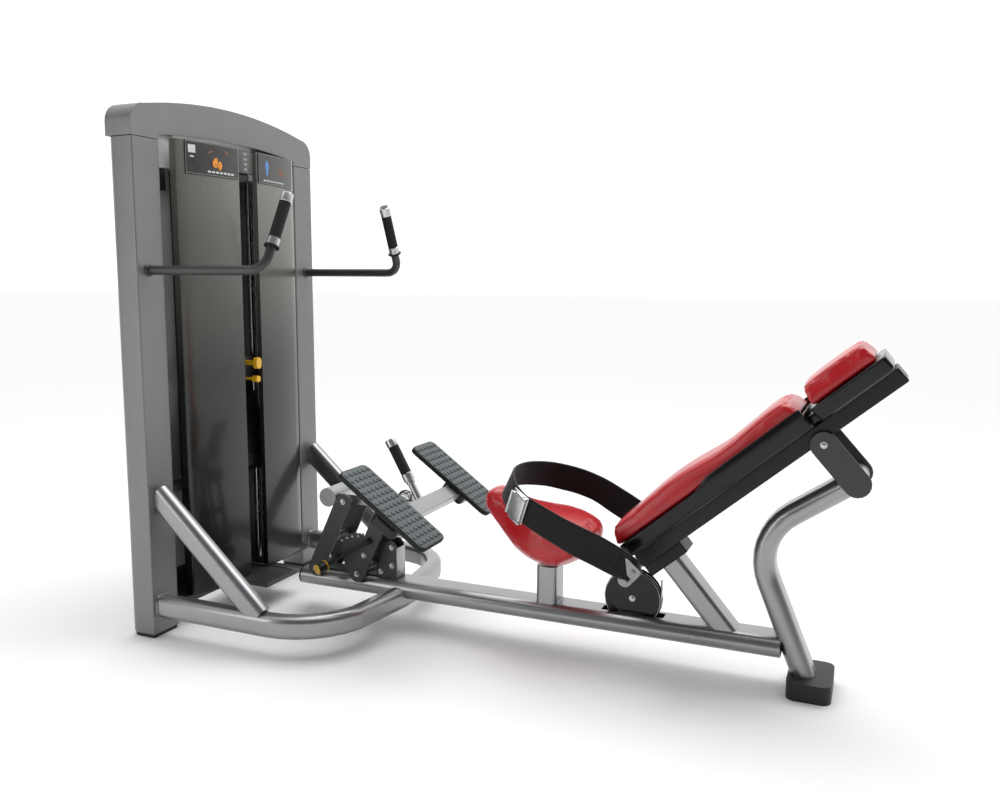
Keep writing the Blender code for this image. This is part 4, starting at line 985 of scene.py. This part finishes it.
faces, lines, pales = bmesh.new(), bmesh.new(), bmesh.new()
for side in (-1, 1):
    add_card_bar(faces, side, 0.056, 0.264, 1.4290, 1.5205, 0.0047)
    for z in (1.4270, 1.5215):
        add_card_bar(lines, side, 0.053, 0.267, z, z + 0.0016, 0.0049)
    for y in (0.0530, 0.2654):
        add_card_bar(lines, side, y, y + 0.0016, 1.4270, 1.5230, 0.0049, 1)
add_card_bar(pales, -1, 0.232, 0.258, 1.4890, 1.5130, 0.0053)
add_card_bar(pales, -1, 0.238, 0.252, 1.4760, 1.4800, 0.0053)
for index in range(7):
    add_card_bar(pales, -1, 0.076 + 0.0165 * index, 0.088 + 0.0165 * index, 1.4350, 1.4410, 0.0053, 1)
    add_card_bar(pales, 1, 0.078 + 0.0185 * index, 0.091 + 0.0185 * index, 1.4350, 1.4390, 0.0053, 1)
commit("card_faces", faces, card_face, "frame")
commit("card_lines", lines, card_line, "frame")
commit("card_pale_blocks", pales, card_pale, "frame")
blobs = bmesh.new()
add_card_blob(blobs, -1, 0.150, 1.468, 0.020, 0.015, 0.5)
add_card_blob(blobs, -1, 0.134, 1.460, 0.012, 0.014, -0.3)
commit("card_orange_shape", blobs, card_orange, "frame")
blobs = bmesh.new()
add_card_blob(blobs, 1, 0.098, 1.486, 0.011, 0.018)
add_card_blob(blobs, 1, 0.098, 1.466, 0.006, 0.014)
commit("card_blue_shape", blobs, card_blue, "frame")
blobs = bmesh.new()
add_card_blob(blobs, 1, 0.180, 1.474, 0.014, 0.010, 0.6)
add_card_blob(blobs, 1, 0.196, 1.466, 0.008, 0.012, -0.4)
add_card_blob(blobs, -1, 0.170, 1.500, 0.020, 0.003, 0.4)
add_card_blob(blobs, -1, 0.106, 1.502, 0.016, 0.003, -0.5)
commit("card_brown_shape", blobs, card_brown, "frame")
middle = bmesh.new()
add_box(middle, at(0.0488, -0.0405, 1.4525), at(0.0496, 0.0405, 1.5225), edge=0.0003)
commit("centre_card_face", middle, finish("centre_card", (0.10, 0.105, 0.10), 0.35, vary=0.1), "frame")
icons = bmesh.new()
for index in range(4):
    z = 1.4600 + 0.0165 * index
    add_box(icons, at(0.0495, -0.009, z), at(0.0500, 0.009, z + 0.0085), edge=0.0002)
    add_box(icons, at(0.0497, -0.0045, z + 0.002), at(0.0503, 0.0045, z + 0.0065), edge=0.0002)
commit("centre_card_marks", icons, card_line, "frame")
print("cards made")

# %% [markdown]
# Bolts sit on the pivots: flat washers and hex heads in bright steel. They ride with the plate they clamp.
# Four pegs and a pale plate finish the ratchet and the bracket beside them.

# %% Bolts
def bolts(name, body, spots, radius=0.0065):
    shape = bmesh.new()
    for place, direction in spots:
        add_bolt(shape, place, direction, radius)
    return commit(name, shape, bright_steel, body)


front_foot, rear_foot_at, reach_x, reach_z = (0.338, 0.160), (0.496, 0.160), 0.110, 0.234
outer = 0.0676
for body, foot in (("front_arm", front_foot), ("rear_arm", rear_foot_at)):
    spots = []
    for side in (-1, 1):
        spots.append((at(foot[0], side * outer, foot[1]), (0, side, 0)))
        spots.append((at(foot[0] + reach_x, side * outer, foot[1] + reach_z), (0, side, 0)))
    if body == "rear_arm":
        spots.append((at(0.524, -outer, 0.226), (0, -1, 0)))
    bolts(body + "_bolts", body, spots)
bolts("bracket_bolts", "frame",
      [(at(x, side * 0.0272, z), (0, side, 0)) for side in (-1, 1)
       for x, z in ((0.603, 0.250), (0.604, 0.190), (0.562, 0.166))])
plates = bmesh.new()
add_box(plates, at(0.6202, -0.0270, 0.1535), at(0.6222, 0.0270, 0.2490), edge=0.0006)
commit("bracket_face", plates, silver_paint, "frame")
pegs = bmesh.new()
PEG_REACH = 0.1195
for degrees in (124, 113.5, 103, 92.5):
    angle = math.radians(degrees)
    spot = at(rear_foot_at[0] + PEG_REACH * math.cos(angle), -0.0461,
              rear_foot_at[1] + PEG_REACH * math.sin(angle))
    add_turned(pegs, [(0, 0), (0.0042, 0), (0.0042, 0.0016), (0.0034, 0.0024), (0, 0.0026)], spot,
               (0, -1, 0), 20)
commit("ratchet_pegs", pegs, brushed_alloy, "frame")
DISC_X, DISC_Z, DISC_SIDE = 1.394, 0.192, 0.0161
bolts("link_bolts", "links", [(at(1.899, side * 0.0867, 0.692), (0, side, 0)) for side in (-1, 1)], 0.0062)
bolts("disc_bolts", "frame",
      [(at(DISC_X, side * DISC_SIDE, DISC_Z), (0, side, 0)) for side in (-1, 1)], 0.0062)
bolts("foot_frame_bolts", "footrest",
      [(on_plate(0.034, side * y, -0.0505), PLATE_TURN.to_3x3() @ Vector((0, 0, -1)))
       for side in (-1, 1) for y in (0.180, 0.262)], 0.0055)
bolts("yoke_bolts", "frame", [(at(-0.0605, side * 0.0206, 1.440), (0, side, 0)) for side in (-1, 1)], 0.0065)
bolts("rear_panel_bolts", "frame",
      [(at(-0.0986, y, z), (-1, 0, 0)) for y in (-0.315, 0.315)
       for z in (0.12, 0.47, 0.82, 1.17, 1.48)], 0.0045)
print("bolts made")

# %% [markdown]
# At each end of the belt a flat zinc fitting holds the strap on a bolt. It rides with the back.

# %% Belt ends
fitting = bmesh.new()
for side in (-1, 1):
    outline = []
    for x, z, radius, start, sweep in ((BELT_PIVOT_X, BELT_PIVOT_Z, 0.0185, -150, 170),
                                       (1.4225, 0.3640, 0.0035, 40, 130)):
        for step in range(13):
            angle = math.radians(start + sweep * step / 12)
            outline.append((x + radius * math.cos(angle), z + radius * math.sin(angle)))
    add_swept(fitting, [[at(x, side * y, z) for x, z in outline] for y in (0.1955, 0.1985)])
    add_turned(fitting, [(0, 0), (0.009, 0), (0.009, 0.0135), (0, 0.0135)], at(1.4138, side * 0.1818, 0.3001),
               (0, side, 0), 28)
    add_bolt(fitting, at(BELT_PIVOT_X, side * 0.1985, BELT_PIVOT_Z), (0, side, 0), 0.0056)
commit("belt_end_fittings", fitting, zinc_plate, "back")
print("belt ends made")

# %% [markdown]
# The release lever is a black rod with a round knob: a black body, a yellow ring and a domed yellow face.

# %% Release lever
LEVER_X, LEVER_Z = 0.5430, 0.2755
shaft, knob_at = at(LEVER_X, -0.080, LEVER_Z), at(0.3984, -0.100, 0.1853)
knob_out = Vector((-0.37, -0.91, -0.20)).normalized()
along = (knob_at - shaft).normalized()
lever = bmesh.new()
add_turned(lever, [(0, 0), (0.0068, 0), (0.0068, 0.033), (0.0055, 0.0345), (0, 0.0345)],
           at(LEVER_X, -0.0530, LEVER_Z), (0, -1, 0), 32)
add_turned(lever, [(0, 0), (0.0110, 0), (0.0118, 0.001), (0.0110, 0.010), (0, 0.010)],
           at(LEVER_X, -0.0745, LEVER_Z), (0, -1, 0), 32)
reach = (knob_at - shaft).length
add_turned(lever, [(0, 0), (0.0055, 0), (0.0055, reach), (0, reach)], shaft, along, 24)
add_turned(lever, [(0, -0.0060), (0.0120, -0.0060), (0.0165, -0.0030), (0.0170, 0.0060), (0.0150, 0.0160),
                   (0.0158, 0.0260), (0.0172, 0.0300), (0.0172, 0.0320), (0, 0.0320)], knob_at, knob_out, 44)
commit("release_rod", lever, black_plastic, "lever", ("release_lever",))
ring = bmesh.new()
add_turned(ring, [(0.0160, -0.0018), (0.0188, -0.0014), (0.0194, 0.0), (0.0188, 0.0014), (0.0160, 0.0018)],
           knob_at, knob_out, 44)
add_turned(ring, [(0, 0.0310), (0.0166, 0.0312), (0.0170, 0.0325), (0.0155, 0.0345), (0.0080, 0.0358),
                  (0, 0.0360)], knob_at, knob_out, 44)
commit("release_knob_yellow", ring, yellow_plastic, "lever")
print("release lever made")

# %% [markdown]
# Small things finish the frame: a plug in the beam's open end, caps in the back's box tube, a bright line
# round the cable disc, marks on the stack's plates, black boxes of painted shade under the crossbar where
# the gaps beside the panels are dark, and pale strips inside the tower that are partly the rear sheet's
# silver and partly a painted reflection.

# %% Plugs, caps and the disc's rim
plug = bmesh.new()
made = bmesh.ops.create_cone(plug, cap_ends=True, segments=48, radius1=0.0282, radius2=0.0282,
                             depth=0.007)["verts"]
for vert in made:
    vert.co.x += math.copysign(0.0285, vert.co.x)
rim = [e for e in plug.edges if e.is_manifold and e.calc_face_angle(0.0) > math.radians(60)]
bevelled(plug, rim, 0.002, 3, False)
plug.transform(Matrix.Translation(at(0.2655, 0, 0.1185)) @ Matrix(((0, 0, 1, 0), (1, 0, 0, 0), (0, 1, 0, 0),
                                                                  (0, 0, 0, 1))))
commit("beam_plug", plug, black_plastic, "frame")

ends = bmesh.new()
add_box(ends, (2.1380, -0.0745, -0.6995), (2.1490, 0.0745, -0.6575), BACK_TURN, 0.003, 3)
add_box(ends, (1.2910, -0.0700, -0.6950), (1.2960, 0.0700, -0.6620), BACK_TURN, 0.001, 2)
commit("back_frame_caps", ends, black_plastic, "back")

RIM_RADIUS = 0.0815
rims = bmesh.new()
for side in (-1, 1):
    circle = [at(DISC_X + RIM_RADIUS * math.cos(a), side * DISC_SIDE, DISC_Z + RIM_RADIUS * math.sin(a))
              for a in (2 * math.pi * step / 96 for step in range(96))]
    add_tube(rims, circle, 0.0008, 8, closed=True)
commit("disc_rim_lines", rims, bright_steel, "frame")

PLATE_PITCH = 0.0212
RESTING_PLATES = 14
for name, body, first, last in (("plate_marks", "frame", 0, RESTING_PLATES),
                                ("selected_plate_mark", "stack", RESTING_PLATES, RESTING_PLATES + 1)):
    marks = bmesh.new()
    for index in range(first, last):
        z = 0.4690 + PLATE_PITCH * index
        add_box(marks, at(0.0178, -0.039, z), at(0.0186, -0.029, z + 0.0055), edge=0.0002)
    commit(name, marks, card_pale, body)

# painted shade: black boxes stand where the gap between column and panel looks dark under the crossbar
shade_boxes = bmesh.new()
for side in (-1, 1):
    near, far = sorted((side * 0.2935, side * 0.3330))
    add_box(shade_boxes, at(-0.058, near, 1.3720), at(-0.018, far, 1.4390), edge=0.002)
commit("crossbar_shade_blocks", shade_boxes, black_plastic, "frame")
# partly painted reflection: pale strips in front of the rear sheet make the tower's slot bright, which the
# dim inside would leave dark
slot_strips = bmesh.new()
for side in (-1, 1):
    near, far = sorted((side * 0.2560, side * 0.3330))
    add_box(slot_strips, at(-0.030, near, 1.4394), at(-0.018, far, 1.5400), edge=0.001)
    near, far = sorted((side * 0.2050, side * 0.3330))
    add_box(slot_strips, at(-0.0920, near, 0.1600), at(-0.0860, far, 1.5400), edge=0.001)
commit("slot_silver_and_reflection", slot_strips, pale_silver_and_reflection, "frame")
print("plugs, caps and marks made")

# %% [markdown]
# A bead of weld shows where the seat post meets the beam, and where each end of the hoop meets its column.

# %% Weld beads
def add_weld(shape, loop, radius=0.0026):
    """A round bead of weld along a closed line."""
    add_tube(shape, spaced(loop, 0.004), radius, 8, closed=True)


welds = bmesh.new()
post_loop = rounded_loop(0.0325, 0.0425, 0.016)
add_weld(welds, [at(1.1355 + x, y, 0.1470 - max(0.0, abs(y) - 0.0285) ** 2 * 20) for x, y in post_loop])
for side in (-1, 1):
    hoop_end = rounded_loop(0.0285, 0.0355, 0.020)
    add_weld(welds, [at(0.0012, side * 0.402 + a, 0.095 + b) for a, b in hoop_end])
commit("weld_beads", welds, silver_paint, "frame")
print("welds made")

# %% [markdown]
# The back's shell is one black moulding in two parts with a notch between them. Its sides are tall and
# glossy and its lower edge tucks in, so it is lofted from rounded rings up the back.

# %% Back shell
shell = bmesh.new()
for low, high in ((1.298, 1.912), (1.930, 2.146)):
    rings = []
    span = high - low
    for share in (0.0, 0.006, 0.02, 0.05, 0.3, 0.5, 0.7, 0.95, 0.98, 0.994, 1.0):
        end = min(1.0, min(share, 1 - share) * span / 0.012)
        pull = 0.010 * (1 - math.sqrt(max(0.0, 1 - (1 - end) ** 2)))
        ring = []
        for a, b, r in ((1, 1, 0.006), (-1, 1, 0.006), (-1, -1, 0.018), (1, -1, 0.018)):
            half, base = 0.1425 - pull, (-0.6115 if b > 0 else -0.6560 + pull)
            narrow = 0.012 if b < 0 else 0.0
            start = {(1, 1): 0, (-1, 1): 90, (-1, -1): 180, (1, -1): 270}[(a, b)]
            cy, cv = a * (half - narrow - r), base - b * r
            for step in range(6):
                angle = math.radians(start + 90 * step / 5)
                ring.append(on_back(low + span * share, cy + r * math.cos(angle), cv + r * math.sin(angle)))
        rings.append(ring)
    add_swept(shell, rings)
add_box(shell, (1.86, -0.100, -0.6500), (1.98, 0.100, -0.6250), BACK_TURN, 0.006, 3)
for side in (-1, 1):
    rings = []
    for step in range(17):
        u = 1.560 + (1.908 - 1.560) * step / 16
        lift = min(1.0, (u - 1.560) / 0.060)
        high = -0.6118 + 0.0170 * lift * lift * (3 - 2 * lift)
        rings.append([on_back(u, side * y, v) for y, v in (
            (0.1390, -0.6200), (0.1390, high - 0.001), (0.1400, high), (0.1445, high), (0.1460, high - 0.002),
            (0.1450, -0.6200))])
    add_swept(shell, rings)
commit("moulded_shell", shell, gloss_shell, "back", ("back_shell",), 50)
print("back shell made")
